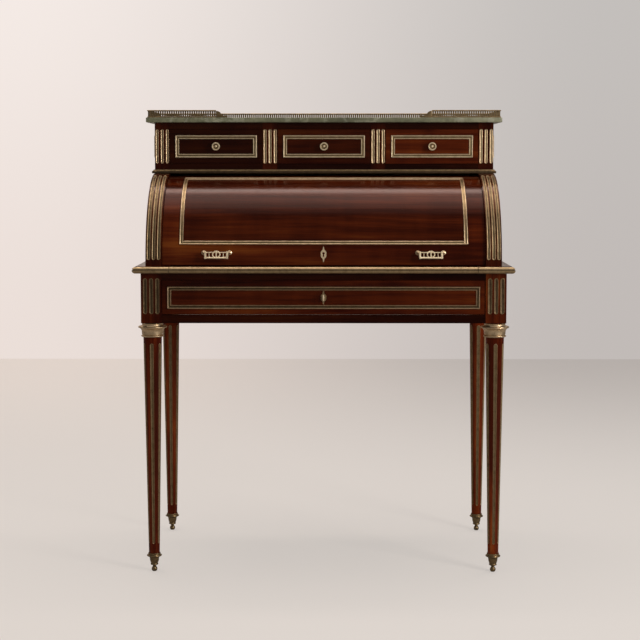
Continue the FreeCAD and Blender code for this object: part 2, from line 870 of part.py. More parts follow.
def cylinder_arms():
    """The iron quadrants that carry the cylinder, with the studs that turn in the cheeks."""
    x = (-shell_half, -shell_half + arm_thickness)
    low, high = shell_low_angle + arm_rim_margin, shell_top_angle - arm_rim_margin
    rim = cylinder_sweep(x, (shell_inner - arm_rim, shell_inner), (low, high))
    hub = Part.makeCylinder(hub_radius, arm_thickness, Vector(-shell_half, 0, axis_z), across)
    reach = stud_length - 2 * shell_end_gap
    stud_end = Vector(-cheek_inner - reach, 0, axis_z)
    stud = Part.makeCylinder(stud_radius, reach + shell_end_gap, stud_end, across)
    spokes = [arm_spoke(arm_low_angle), arm_spoke(arm_high_angle)]
    keep = cylinder_sweep(x, (0, shell_inner), (shell_low_angle, shell_top_angle)).fuse(hub)
    return both_sides(rim.fuse([spoke.common(keep) for spoke in spokes] + [hub, stud]))


def cylinder_frame():
    """The rectangular brass frame that follows the cylinder: two straight and two curved lengths."""
    half = cylinder_frame_half_width
    band_angle = math.degrees(cylinder_frame_band / shell_radius)
    low, high = cylinder_frame_start_angle, cylinder_frame_end_angle
    lengths = []
    for x, outward in ((-half, 1), (half, -1)):
        section = wire(frame_shares, lambda u, v: cylinder_point(
            x + outward * u * cylinder_frame_band, shell_radius + v * cylinder_frame_rise), arc_chords)
        side = swung(Part.Face(section), low)
        lengths.append(side.revolve(cylinder_axis, -across, high - low))
    for angle, upward in ((low, 1), (high, -1)):
        section = wire(frame_shares, lambda u, v: swung_place(
            -half, shell_radius + v * cylinder_frame_rise, angle + upward * u * band_angle), arc_chords)
        lengths.append(Part.Face(section).extrude(Vector(2 * half, 0, 0)))
    return lengths


def swung_place(x, radius, angle):
    """A place at a radius and an angle about the cylinder's axis."""
    turn = math.radians(angle)
    return Vector(x, -radius * math.cos(turn), axis_z + radius * math.sin(turn))


def mitre_room(x, inward, angle, upward, side):
    """The room on one side of the mitre at a corner of the curved frame."""
    turn, reach = math.radians(angle), 2 * cylinder_frame_band
    corner, outward = swung_place(x, shell_radius, angle), Vector(0, -math.cos(turn), math.sin(turn))
    climb, along = Vector(0, math.sin(turn), math.cos(turn)) * upward, across * inward
    diagonal = climb + along
    corners = [
        corner + diagonal * (reach * u) + outward * (reach * v)
        for u, v in ((-1, -1), (1, -1), (1, 1), (-1, 1))
    ]
    face = Part.Face(Part.makePolygon(corners + corners[:1]))
    return face.extrude((climb - along) * (side * reach))


def cylinder_moulding():
    """The frame's four lengths, each cut to the mitres at its ends."""
    left, right, low, high = cylinder_frame()
    half = cylinder_frame_half_width
    corners = [
        (x, inward, angle, upward)
        for x, inward in ((-half, 1), (half, -1))
        for angle, upward in ((cylinder_frame_start_angle, 1), (cylinder_frame_end_angle, -1))
    ]
    beside = [mitre_room(*corner, -1) for corner in corners] + cylinder_shell()
    curved = [length.cut(beside) for length in (left, right)]
    beyond = [mitre_room(*corner, 1) for corner in corners] + cylinder_shell()
    straight = [length.cut(beyond) for length in (low, high)]
    return curved + straight


def escutcheon_outline(height, place):
    """The waisted outline of a keyhole plate, from its right half and the mirror of that half."""
    left = []
    points = list(escutcheon_shares)
    flat = [point if not isinstance(point[0], tuple) else point[1] for point in points]
    for index in range(len(points) - 1, 0, -1):
        end = flat[index - 1]
        if isinstance(points[index][0], tuple):
            middle = points[index][0]
            left.append(((-middle[0], middle[1]), (-end[0], end[1])))
        else:
            left.append((-end[0], end[1]))
    return wire(points + left, lambda u, v: place(u * escutcheon_width, v * height), arc_chords)


def keyhole(centre_z, y):
    """The cutter of a keyhole, from one depth to another: a round hole over a slot."""
    hole = Part.makeCylinder(keyhole_radius, y[1] - y[0], Vector(0, y[0], centre_z), -forward)
    slot = block(centred(keyhole_slot), y, (centre_z - key_bit_reach - running_gap, centre_z))
    return hole.fuse(slot)


def cylinder_escutcheon():
    """The keyhole plate on the cylinder, bent to its surface."""
    height = cylinder_escutcheon_height
    low = axis_z + cylinder_escutcheon_rise - height / 2
    y = -shell_radius - escutcheon_thickness - overrun
    plate = Part.Face(escutcheon_outline(height, lambda x, z: Vector(x, y, low + z)))
    deep = plate.extrude(Vector(0, shell_thickness, 0))
    skin = cylinder_sweep(
        centred(2 * escutcheon_width), (shell_radius, shell_radius + escutcheon_thickness),
        (shell_low_angle, cylinder_frame_end_angle),
    )
    hole = keyhole(axis_z + cylinder_escutcheon_rise, (y - overrun, -shell_inner))
    return [skin.common(deep).cut(hole)]


def cylinder_lock():
    """The lock case on the inner face of the cylinder, seated against the curve."""
    half = cylinder_lock_height / 2
    y = (-shell_inner, -shell_inner + cylinder_lock_depth)
    case = block(centred(cylinder_lock_width), y, (axis_z - half, axis_z + half))
    room = Part.makeCylinder(
        shell_inner, cylinder_lock_width, Vector(-cylinder_lock_width / 2, 0, axis_z), across,
    )
    return [swung(case.common(room), cylinder_lock_angle)]


def handle_places():
    return [side * handle_x + end * handle_span / 2 for side in (-1, 1) for end in (-1, 1)]


def handle_post():
    """A turned post with its rosette and round head, bored for the rod of a bail."""
    neck = math.sqrt(handle_head_radius ** 2 - handle_stem_radius ** 2)
    post = turned([
        (0, -overrun), (handle_rosette_radius, -overrun), (handle_rosette_radius, handle_rosette_height),
        (handle_stem_radius, handle_rosette_height), (handle_stem_radius, handle_pivot_rise - neck),
        ((handle_head_radius, handle_pivot_rise), (0, handle_pivot_rise + handle_head_radius)),
    ])
    bore_end = Vector(-handle_head_radius, 0, handle_pivot_rise)
    bore = Part.makeCylinder(bail_rod_radius + bore_gap, 2 * handle_head_radius, bore_end, across)
    return post.cut(bore)


def handle_posts():
    """The four posts of the two handles, standing on the cylinder's curve."""
    post = handle_post()
    post.rotate(origin, across, 90)
    posts = [swung(post.translated(cylinder_point(x, shell_radius)), handle_angle) for x in handle_places()]
    return [post.cut(cylinder_shell()) for post in posts]


def oval_prism(half_width, half_height, thickness):
    """A flat plate that looks towards -Y, with an oval outline of straight sides."""
    turns = [2 * math.pi * index / ring_sides for index in range(ring_sides)]
    points = [(half_width * math.cos(turn), half_height * math.sin(turn)) for turn in turns]
    outline = wire(points, lambda x, z: Vector(x, -thickness / 2, z))
    return Part.Face(outline).extrude(Vector(0, thickness, 0))


def ring(half_width, half_height, band):
    """A flat oval ring, as thick as its band is wide."""
    inside = oval_prism(half_width - band, half_height - band, band)
    return oval_prism(half_width, half_height, band).cut(inside)


def level_rod(radius, half_length, drop):
    """A rod along X, with its middle the drop below the origin."""
    rod = turned([(0, -half_length), (radius, -half_length), (radius, half_length), (0, half_length)])
    rod.rotate(origin, forward, 90)
    return rod.translated(Vector(0, 0, -drop))


def bail(side):
    """A bail: its rod turns in the post heads and carries a bar, end blocks and an oval ring."""
    pivot = swung_place(side * handle_x, shell_radius + handle_pivot_rise, handle_angle)
    rod = level_rod(bail_rod_radius, (handle_span + bail_bar_radius) / 2, 0)
    bar = level_rod(bail_bar_radius, bail_block_x, bail_drop)
    reach = bail_block / 2
    blocks = [
        block((x - reach, x + reach), (-reach, reach), (-bail_drop - reach, reach))
        for x in (-bail_block_x, bail_block_x)
    ]
    oval = ring(bail_ring_half_width, bail_ring_half_height, bail_ring_band)
    strut = turned([(0, -bail_drop), (bail_rod_radius, -bail_drop), (bail_rod_radius, 0), (0, 0)])
    shape = rod.fuse([bar, oval.translated(Vector(0, 0, -bail_ring_drop)), strut] + blocks)
    shape.rotate(origin, -across, bail_tilt_angle)
    return [shape.translated(pivot)]


def apron_front():
    """The front of the wide drawer, with its keyhole."""
    x = centred(2 * (post_inner - drawer_gap))
    front = block(x, (front_face, lock_front), (drawer_bottom + drawer_gap, front_top))
    return [front.cut(keyhole(key_z, (front_face - overrun, lock_front + overrun)))]


def drawer_box(half_width, y, low_z, height, side):
    """Two sides, a back and a bottom let in between them, as one glued box open at the top."""
    outer = block((-half_width, half_width), y, (low_z, low_z + height))
    inside = (-half_width + side, half_width - side), (y[0] - overrun, y[1] - side)
    bottom = low_z + drawer_bottom_rise
    room = block(*inside, (bottom + drawer_bottom_thickness, low_z + height + overrun))
    under = block(*inside, (low_z - overrun, bottom))
    return outer.cut([room, under])


def apron_box():
    y = (lock_front, apron_back_front - apron_box_room)
    half = post_inner - drawer_gap
    box = drawer_box(half, y, drawer_bottom + running_gap, apron_side_height, apron_side_thickness)
    return [box]


def apron_frame():
    z = apron_top - apron_frame_drop - apron_frame_height / 2
    width = 2 * (post_inner - drawer_gap - apron_frame_margin)
    return [face_frame(width, apron_frame_height, Vector(0, front_face, z), across, forward)]


def apron_escutcheon():
    low = key_z - escutcheon_height / 2
    y = front_face - escutcheon_thickness
    plate = Part.Face(escutcheon_outline(escutcheon_height, lambda x, z: Vector(x, y, low + z)))
    plate = plate.extrude(Vector(0, escutcheon_thickness, 0))
    return [plate.cut(keyhole(key_z, (y - overrun, front_face + overrun)))]


def bolt_y(gap):
    middle = lock_front + lock_wall + bolt_thickness / 2 + bolt_gap
    reach = bolt_thickness / 2 + gap
    return (middle - reach, middle + reach)


def bolt_low():
    """The foot of the bolt, high enough that the key's bit lifts it without a jerk."""
    return key_z + bolt_rise


def apron_lock():
    """The lock case: a round chamber for the key's bit and a channel for the bolt."""
    y = (lock_front, lock_back)
    case = block(centred(2 * lock_half_width), y, (key_z - lock_foot, front_top))
    chamber = Part.makeCylinder(
        chamber_radius, lock_depth - 2 * lock_wall, Vector(0, lock_front + lock_wall, key_z), -forward,
    )
    channel_z = (bolt_low() - bolt_gap, front_top + overrun)
    channel = block(centred(2 * (bolt_half_width + bolt_gap)), bolt_y(bolt_gap), channel_z)
    bore = Part.makeCylinder(
        key_shaft_radius + bore_gap, lock_depth, Vector(0, lock_front, key_z), -forward,
    )
    entry = keyhole(key_z, (lock_front - overrun, lock_front + lock_wall))
    return [case.cut([chamber, channel, bore, entry])]


def drawer_bolt():
    x = centred(2 * bolt_half_width)
    return [block(x, bolt_y(0), (bolt_low(), front_top))]


def drawer_key():
    """The key: a ring bow seen edge-on from the front, a shaft, and a bit that hangs down."""
    bow_y = front_face - key_reach + key_bow_radius
    shaft_start = bow_y + key_bow_radius - key_bow_band / 2
    shaft = Part.makeCylinder(
        key_shaft_radius, lock_back - shaft_start, Vector(0, shaft_start, key_z), -forward,
    )
    bow = ring(key_bow_radius, key_bow_radius, key_bow_band)
    bow.rotate(origin, upright, 90)
    bit_start = lock_front + lock_wall + bolt_gap
    bit_y = (bit_start, bit_start + key_bit_width)
    bit = block(centred(key_bit_thickness), bit_y, (key_z - key_bit_reach, key_z))
    return [shaft.fuse([bow.translated(Vector(0, bow_y, key_z)), bit])]


def upper_bays():
    """The clear width of each upper drawer's opening, from left to right."""
    middle = middle_pilaster_x - pilaster_width / 2
    outer = middle_pilaster_x + pilaster_width / 2
    return [(-end_pilaster_inner, -outer), (-middle, middle), (outer, end_pilaster_inner)]


def upper_front(bay):
    x = (bay[0] + drawer_gap, bay[1] - drawer_gap)
    y = (bed_setback, bed_setback + upper_front_thickness)
    return [block(x, y, (bed_top + drawer_gap, upper_opening_top - drawer_gap))]


def upper_box(bay):
    half = (bay[1] - bay[0]) / 2 - drawer_gap
    y = (bed_setback + upper_front_thickness, case_back - back_thickness - upper_box_room)
    box = drawer_box(half, y, bed_top + running_gap, upper_side_height, upper_side_thickness)
    return [box.translated(Vector((bay[0] + bay[1]) / 2, 0, 0))]


def knob(shares, radius, reach, at):
    """A turned knob that stands out from a front."""
    shape = turned(shares, radius, reach)
    shape.rotate(origin, across, 90)
    return shape.translated(at)


def upper_mounts(bay):
    """The brass frame and the knob of an upper drawer."""
    centre = Vector((bay[0] + bay[1]) / 2, bed_setback, (bed_top + upper_opening_top) / 2)
    frame = face_frame(upper_frame_width, upper_frame_height, centre, across, forward)
    return [frame, knob(knob_shares, knob_radius, knob_reach, centre)]


def inner_bay():
    """The left bay of the nest, between its outer side and the niche."""
    outer = -nest_half_width + nest_board
    return (outer, outer + nest_bay_width)


def nest():
    """The inner carcass on the fixed back board: two drawer bays and a niche between them."""
    outer_z = (table_height, table_height + nest_height)
    outer = block(centred(2 * nest_half_width), (nest_front, nest_back), outer_z)
    room_y = (nest_front - overrun, nest_back - nest_board)
    room_z = (table_height + nest_board, table_height + nest_height - nest_board)
    bays = both_sides(block(inner_bay(), room_y, room_z))
    return [outer.cut(bays + [block(centred(nest_bay_width), room_y, room_z)])]


def inner_drawer():
    """The left inner drawer, from one piece with its front."""
    bay = inner_bay()
    half = (bay[1] - bay[0]) / 2 - running_gap
    low = table_height + nest_board + running_gap
    high = table_height + nest_height - nest_board - running_gap
    front_back = nest_front + inner_front_thickness
    front = block((-half, half), (nest_front, front_back), (low, high))
    box_y = (front_back, nest_back - nest_board - running_gap)
    box = drawer_box(half, box_y, low, inner_side_height, inner_side_thickness)
    return front.fuse(box).translated(Vector((bay[0] + bay[1]) / 2, 0, 0))


def inner_knob():
    bay = inner_bay()
    at = Vector((bay[0] + bay[1]) / 2, nest_front, table_height + nest_height / 2)
    return knob(inner_knob_shares, inner_knob_radius, inner_knob_reach, at)


def cheek_node():
    return cheek_blank().cut(cheek_flutes()[1])


def all_parts():
    """Every sub-part by name, as a list of its separate solids."""
    front_left, back_left, cheek = leg(front_leg_y, True), leg(back_leg_y, False), cheek_node()
    cheek_linings = cheek_flutes()[0]
    parts = {
        "leg_front_left": [front_left],
        "leg_front_right": [mirrored(front_left)],
        "leg_back_left": [back_left],
        "leg_back_right": [mirrored(back_left)],
        "leg_capitals": on_legs(capital()),
        "leg_sabots": on_legs(sabot()),
        "leg_flute_linings": all_leg_linings(),
        "post_flute_linings": all_post_linings(),
        "apron_boards": apron_sides() + apron_back(),
        "front_rails": front_rails(),
        "drawer_runners": drawer_runners(),
        "side_frame_mouldings": side_frames(),
        "top_fixed_boards": top_sides() + top_back(),
        "top_edge_moulding": top_edge(),
        "cheek_left": [cheek],
        "cheek_right": [mirrored(cheek)],
        "cheek_flute_linings": cheek_linings + [mirrored(tray) for tray in cheek_linings],
        "back_panels": back_panel(),
        "upper_floor": upper_floor(),
        "upper_sides": upper_sides(),
        "upper_drawer_bed": drawer_board(floor_top, bed_top),
        "upper_top_board": drawer_board(upper_opening_top, case_top),
        "upper_dividers": dividers(),
        "pilasters": pilasters(),
        "pilaster_flute_linings": on_pilasters(pilaster_flutes()[0]),
        "ledge_moulding": ledge(),
        "marble_top": marble(),
        "gallery": gallery(),
        "inner_nest": nest(),
        "cylinder_shell": cylinder_shell(),
        "cylinder_arms": cylinder_arms(),
        "cylinder_moulding": cylinder_moulding(),
        "cylinder_escutcheon": cylinder_escutcheon(),
        "cylinder_lock": cylinder_lock(),
        "handle_posts": handle_posts(),
        "bail_left": bail(-1),
        "bail_right": bail(1),
        "slide_board": slide_board(),
        "slide_leather": [leather_box(slide_top)],
        "slide_edge_moulding": slide_edge(),
        "apron_drawer_front": apron_front(),
        "apron_drawer_box": apron_box(),
        "apron_drawer_moulding": apron_frame(),
        "apron_drawer_escutcheon": apron_escutcheon(),
        "apron_drawer_lock": apron_lock(),
        "drawer_bolt": drawer_bolt(),
        "drawer_key": drawer_key(),
    }
    for name, bay in zip(("left", "middle", "right"), upper_bays()):
        parts["upper_drawer_" + name + "_front"] = upper_front(bay)
        parts["upper_drawer_" + name + "_box"] = upper_box(bay)
        parts["upper_drawer_" + name + "_mounts"] = upper_mounts(bay)
    for name, place in zip(("left", "right"), (0, 1)):
        parts["inner_drawer_" + name] = [both_sides(inner_drawer())[place]]
        parts["inner_drawer_" + name + "_knob"] = [both_sides(inner_knob())[place]]
    return parts


def write_parts():
    os.makedirs("parts", exist_ok=True)
    for name, solids in all_parts().items():
        shape = solids[0] if len(solids) == 1 else Part.makeCompound(solids)
        if not shape.isValid() or any(solid.Volume < joined for solid in shape.Solids):
            raise ValueError(name + " is not a valid solid")
        shape.exportStep(os.path.join("parts", name + ".step"))
        print(name, len(shape.Solids), "solids")


write_parts()
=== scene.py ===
import math

import bmesh
import bpy
from mathutils import Matrix, Vector


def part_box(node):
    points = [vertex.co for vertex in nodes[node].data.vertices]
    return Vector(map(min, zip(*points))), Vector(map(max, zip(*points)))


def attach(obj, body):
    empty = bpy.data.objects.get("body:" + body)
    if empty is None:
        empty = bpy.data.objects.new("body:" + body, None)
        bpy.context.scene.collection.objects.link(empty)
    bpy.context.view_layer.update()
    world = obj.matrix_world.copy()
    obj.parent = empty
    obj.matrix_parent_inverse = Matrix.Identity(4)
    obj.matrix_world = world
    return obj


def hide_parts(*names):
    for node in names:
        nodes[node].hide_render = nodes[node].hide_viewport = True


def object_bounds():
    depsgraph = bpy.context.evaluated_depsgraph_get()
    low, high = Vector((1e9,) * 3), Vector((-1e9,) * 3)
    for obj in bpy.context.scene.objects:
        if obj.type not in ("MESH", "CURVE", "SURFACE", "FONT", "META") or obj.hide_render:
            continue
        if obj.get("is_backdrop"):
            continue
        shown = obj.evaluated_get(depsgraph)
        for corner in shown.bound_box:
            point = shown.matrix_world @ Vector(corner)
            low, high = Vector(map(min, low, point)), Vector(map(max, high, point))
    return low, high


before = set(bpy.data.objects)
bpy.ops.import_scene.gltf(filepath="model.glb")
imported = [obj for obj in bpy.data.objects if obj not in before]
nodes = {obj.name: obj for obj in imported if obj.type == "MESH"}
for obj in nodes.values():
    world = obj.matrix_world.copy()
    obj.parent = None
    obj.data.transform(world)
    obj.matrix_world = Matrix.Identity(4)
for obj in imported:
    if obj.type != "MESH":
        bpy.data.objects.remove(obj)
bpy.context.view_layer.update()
mm = 0.001

# The camera stands in front of the desk, a little above the marble, and looks slightly down.
# Its lens is shifted a little, because the real one kept the legs upright.
camera_data = bpy.data.cameras.new("Camera")
camera_data.lens = 84.4
camera_data.shift_y = -0.07
camera = bpy.data.objects.new("Camera", camera_data)
bpy.context.scene.collection.objects.link(camera)
camera.location = (0.018, -3.834, 0.9955)
camera.rotation_euler = (math.radians(90 - 4.19), 0, math.radians(0.42))
bpy.context.scene.camera = camera
bpy.context.scene.view_settings.view_transform = "Standard"


# The studio: five soft strips of light overhead, which run from behind the desk towards the
# camera, a lamp at the right, and a faint fill from all round. The floor and the wall behind are
# painted a warm pale grey, with the fall of the light painted into them.
class Strand:
    """One socket in a finish. Sums and products of strands add Math nodes."""

    def __init__(self, socket):
        self.socket = socket
        self.tree = socket.id_data

    def node(self, kind, settings=None, inputs=None, output=0):
        """Adds a node. Its settings come first, then the numbers or strands of its sockets."""
        made = self.tree.nodes.new(kind)
        for name, setting in (settings or {}).items():
            if name == "stops":
                ramp = made.color_ramp
                while len(ramp.elements) < len(setting):
                    ramp.elements.new(1)
                for stop, (place, colour) in zip(ramp.elements, setting):
                    stop.position = place
                    stop.color = (*colour, 1)
            else:
                setattr(made, name, setting)
        for name, number in (inputs or {}).items():
            if isinstance(number, Strand):
                self.tree.links.new(number.socket, made.inputs[name])
            else:
                made.inputs[name].default_value = number
        return Strand(made.outputs[output])

    def into(self, node, socket):
        self.tree.links.new(self.socket, node.inputs[socket])

    def math(self, operation, *numbers):
        return self.node("ShaderNodeMath", {"operation": operation}, dict(enumerate(numbers)))

    def __add__(self, other):
        return self.math("ADD", self, other)

    def __radd__(self, other):
        return self.math("ADD", other, self)

    def __sub__(self, other):
        return self.math("SUBTRACT", self, other)

    def __rsub__(self, other):
        return self.math("SUBTRACT", other, self)

    def __mul__(self, other):
        return self.math("MULTIPLY", self, other)

    def __rmul__(self, other):
        return self.math("MULTIPLY", other, self)

    def __abs__(self):
        return self.math("ABSOLUTE", self)

    def stretched(self, x, y, z):
        """The place, drawn out along its axes."""
        return self.node("ShaderNodeVectorMath", {"operation": "MULTIPLY"}, {0: self, 1: (x, y, z)})

    def part(self, axis):
        return self.node("ShaderNodeSeparateXYZ", None, {0: self}, axis)

    def noise(self, scale, detail=3.0, roughness=0.5):
        inputs = {"Vector": self, "Scale": scale, "Detail": detail, "Roughness": roughness}
        return self.node("ShaderNodeTexNoise", None, inputs)

    def smooth(self, low, high):
        """0 below the low value, 1 above the high one, and eased between them."""
        return self.node(
            "ShaderNodeMapRange", {"interpolation_type": "SMOOTHSTEP"},
            {"Value": self, "From Min": low, "From Max": high})

    def bump(self, strength, distance, sunk=False):
        """The surface, raised where this strand is high, or sunk there."""
        return self.node("ShaderNodeBump", {"invert": sunk},
                         {"Strength": strength, "Distance": distance, "Height": self})

    def ramp(self, *stops):
        return self.node("ShaderNodeValToRGB", {"stops": stops}, {0: self})

    def mixed(self, first, second):
        """Two colours, mixed by this strand."""
        kind = {"data_type": "RGBA", "clamp_factor": True}
        first, second = (c if isinstance(c, Strand) else (*c, 1) for c in (first, second))
        return self.node("ShaderNodeMix", kind, {0: self, 6: first, 7: second}, 2)


def new_finish(name):
    """A material with its shader, and the place on the piece in metres."""
    material = bpy.data.materials.new(name)
    material.use_nodes = True
    place = material.node_tree.nodes.new("ShaderNodeTexCoord").outputs["Object"]
    return material, material.node_tree.nodes["Principled BSDF"], Strand(place)


def stage_plane(name, corners, material):
    plane = bmesh.new()
    plane.faces.new([plane.verts.new(corner) for corner in corners])
    mesh = bpy.data.meshes.new(name)
    plane.to_mesh(mesh)
    plane.free()
    mesh.materials.append(material)
    sheet = bpy.data.objects.new(name, mesh)
    bpy.context.scene.collection.objects.link(sheet)
    sheet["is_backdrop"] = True


def studio_paint(name, colour, share, dimmed):
    """A matt paint whose colour follows the place. The camera sees a share of it at its own colour,
    as in the overexposed studio, and polished surfaces see it dimmed by another share."""
    material, shader, place = new_finish(name)
    fine = place.noise(3.0, 2.0)
    shade = colour(place)
    shade.into(shader, "Base Color")
    (0.7 + fine * 0.1).into(shader, "Roughness")
    seen = place.node("ShaderNodeLightPath")
    glossy = Strand(seen.socket.node.outputs["Is Glossy Ray"])
    glow = shade.node("ShaderNodeEmission", None, {"Color": shade, "Strength": 1.0})
    dark = place.node("ShaderNodeBsdfDiffuse", None, {"Color": (0.02, 0.018, 0.016, 1)})
    lit = place.node("ShaderNodeMixShader", None, {0: seen * share, 1: Strand(shader.outputs[0]), 2: glow})
    return material, place.node("ShaderNodeMixShader", None, {0: glossy * dimmed, 1: lit, 2: dark})


def floor_colour(place):
    """Bright in front of the desk, and from left to right a little darker towards the wall: painted light
    fall.
    """
    far = place.part(1).smooth(0.3, wall_y)
    side = place.part(0).smooth(-1.5, 1.3)
    far_colour = side.mixed((0.84, 0.75, 0.69), (0.54, 0.50, 0.475))
    return far.mixed(side.mixed((0.73, 0.68, 0.64), (0.66, 0.625, 0.595)), far_colour)


def wall_colour(place):
    """Brightest at the top left, where the window light falls, and grey at the right."""
    side = place.part(0).smooth(-1.7, 1.5)
    climb = place.part(2).smooth(0.0, 2.4)
    low = side.mixed((0.83, 0.735, 0.69), (0.535, 0.495, 0.475))
    return climb.mixed(low, side.mixed((0.92, 0.84, 0.80), (0.55, 0.525, 0.505)))


wall_y = 3.845
floor_paint, surface = studio_paint("Floor paint", floor_colour, 0.70, 0.6)
surface.into(floor_paint.node_tree.nodes["Material Output"], "Surface")
stage_plane("Floor", [(-9, -7, 0), (9, -7, 0), (9, wall_y, 0), (-9, wall_y, 0)], floor_paint)
wall_paint, surface = studio_paint("Wall paint", wall_colour, 1.0, 0.2)
behind = Strand(surface.node("ShaderNodeNewGeometry").socket.node.outputs["Backfacing"])
clear = surface.node("ShaderNodeBsdfTransparent")
surface.node("ShaderNodeMixShader", None, {0: behind, 1: surface, 2: clear}).into(
    wall_paint.node_tree.nodes["Material Output"], "Surface")
stage_plane("Wall", [(-9, wall_y, 0), (9, wall_y, 0), (9, wall_y, 6), (-9, wall_y, 6)], wall_paint)


def soft_lamp(name, at, aim, width, height, power, colour):
    lamp_data = bpy.data.lights.new(name, "AREA")
    lamp_data.shape = "RECTANGLE"
    lamp_data.size, lamp_data.size_y = width, height
    lamp_data.energy = power
    lamp_data.color = colour
    lamp = bpy.data.objects.new(name, lamp_data)
    bpy.context.scene.collection.objects.link(lamp)
    lamp.location = at
    lamp.rotation_euler = (Vector(aim) - Vector(at)).to_track_quat("-Z", "Y").to_euler()


strip_powers = {0.70: 29, 0.30: 10, -0.10: 12, -0.50: 9, -0.90: 3}
for index, (y, power) in enumerate(strip_powers.items()):
    name = "Overhead lamp %d" % (index + 1)
    soft_lamp(name, (0.1, y, 3.1), (0.1, y, 0), 3.4, 0.4, power, (1, 0.88, 0.80))
soft_lamp("Side lamp", (2.3, -2.0, 1.7), (0, 0, 0.6), 0.8, 1.3, 55, (1, 0.94, 0.88))
world = bpy.data.worlds.new("Studio")
world.use_nodes = True
background = world.node_tree.nodes["Background"]
background.inputs["Color"].default_value = (1, 0.96, 0.92, 1)
rays = Strand(world.node_tree.nodes.new("ShaderNodeLightPath").outputs["Is Glossy Ray"])
(0.50 - rays * 0.30).into(background, "Strength")
bpy.context.scene.world = world


# The apron: solid Cuban mahogany boards between the posts, the rails above and below the long
# drawer, and the drawer's front, French polished to a deep gloss. The grain runs along each board.
def mahogany(name, turn, shift, light):
    """Polished mahogany whose grain runs along X after the turn, in degrees. The shift takes another
    part of the log, and the light is how pale that part is."""
    material, shader, place = new_finish(name)
    along = place.node(
        "ShaderNodeMapping", None,
        {"Vector": place, "Rotation": [math.radians(angle) for angle in turn], "Location": shift})
    bend = along.stretched(1.2, 3, 3).noise(1.0, 2.0)
    wavy = along.node("ShaderNodeVectorMath", {"operation": "ADD"}, {
        0: along, 1: bend.node("ShaderNodeCombineXYZ", None, {1: bend * 0.03, 2: bend * 0.03})})
    broad = wavy.stretched(1.4, 9, 9).noise(1.0, 3.0, 0.55)
    streak = wavy.stretched(2.5, 60, 60).noise(1.0, 4.0, 0.6)
    fine = wavy.stretched(8, 420, 420).noise(1.0, 2.0, 0.5)
    figure = wavy.stretched(22, 5, 5).noise(1.0, 2.0, 0.5)
    tone = broad * 0.5 + streak * 0.4 + fine * 0.12 + figure * 0.12
    shades = ((0.36, (0.010, 0.0010, 0.0004)), (0.52, (0.050, 0.0055, 0.0012)),
              (0.64, (0.125, 0.0190, 0.0034)), (0.78, (0.260, 0.0660, 0.0100)))
    shades = ((stop, [share * light for share in shade]) for stop, shade in shades)
    tone.ramp(*shades).into(shader, "Base Color")
    pore = wavy.stretched(70, 1500, 1500).noise(1.0, 1.0, 0.5).smooth(0.62, 0.72)
    (0.10 + fine * 0.07 + pore * 0.1).into(shader, "Roughness")
    pore.bump(0.12, 0.0002, True).into(shader, "Normal")
    shader.inputs["Specular IOR Level"].default_value = 0.2
    shader.inputs["Specular Tint"].default_value = (1.0, 0.52, 0.42, 1)
    shader.inputs["Coat Weight"].default_value = 0.03
    shader.inputs["Coat Roughness"].default_value = 0.09
    return material


def dress(material, *names):
    """Gives pieces that come straight from the frame their finish."""
    for name in names:
        nodes[name].material_slots[0].material = material


level_wood = mahogany("Mahogany level", (0, 0, 0), (0.4, 0.2, 0.7), 0.42)
case_wood = mahogany("Dark mahogany", (0, 0, 0), (0.7, 0.5, 0.2), 0.13)
dress(level_wood, "apron_boards", "apron_drawer_front")
dress(case_wood, "front_rails")


# The drawers inside, their runners, guides and dividers, and the back panels: plain oak, left
# unpolished and gone brown with age, pale along the open grain.
def oak(name, turn):
    material, shader, place = new_finish(name)
    along = place.node(
        "ShaderNodeMapping", None, {"Vector": place, "Rotation": [math.radians(angle) for angle in turn]})
    broad = along.stretched(3, 14, 14).noise(1.0, 3.0)
    streak = along.stretched(5, 160, 160).noise(1.0, 3.0, 0.6)
    tone = broad * 0.5 + streak * 0.5
    shades = (0.32, (0.13, 0.066, 0.026)), (0.52, (0.27, 0.155, 0.066)), (0.72, (0.42, 0.27, 0.13))
    tone.ramp(*shades).into(shader, "Base Color")
    (0.55 + streak * 0.2).into(shader, "Roughness")
    streak.bump(0.25, 0.0004).into(shader, "Normal")
    return material


dress(oak("Oak level", (0, 0, 0)), "back_panels")
dress(oak("Oak front to back", (0, 0, 90)), "drawer_runners", "upper_dividers", "apron_drawer_box",
      "upper_drawer_left_box", "upper_drawer_middle_box", "upper_drawer_right_box")


# The capitals under the posts: turned brass collars with a wide dished flange, a drum, a groove
# and a bead at the foot, once lacquered and now toned to a soft pale gold.
def aged_brass(name, bright, dull, rough, metal=1.0):
    material, shader, place = new_finish(name)
    cloud = place.noise(85.0, 4.0, 0.6)
    speck = place.noise(420.0, 2.0, 0.5)
    tarnish = (cloud * 0.6 + speck * 0.4).smooth(0.34, 0.74)
    tarnish.mixed(bright, dull).into(shader, "Base Color")
    (rough + tarnish * 0.16).into(shader, "Roughness")
    speck.bump(0.08, 0.0003).into(shader, "Normal")
    shader.inputs["Metallic"].default_value = metal
    return material


brass = aged_brass("Aged brass", (0.78, 0.60, 0.38), (0.42, 0.31, 0.19), 0.32)


def sagging(start, end, bulge, steps=6):
    """Points of a shallow arc after the start and up to the end, which bulges at its middle."""
    (x0, y0), (x1, y1) = start, end
    length = math.hypot(x1 - x0, y1 - y0)
    out = (-(y1 - y0) / length, (x1 - x0) / length)
    points = []
    for step in range(1, steps + 1):
        share = step / steps
        rise = 4 * bulge * share * (1 - share)
        points.append((x0 + (x1 - x0) * share + out[0] * rise, y0 + (y1 - y0) * share + out[1] * rise))
    return points


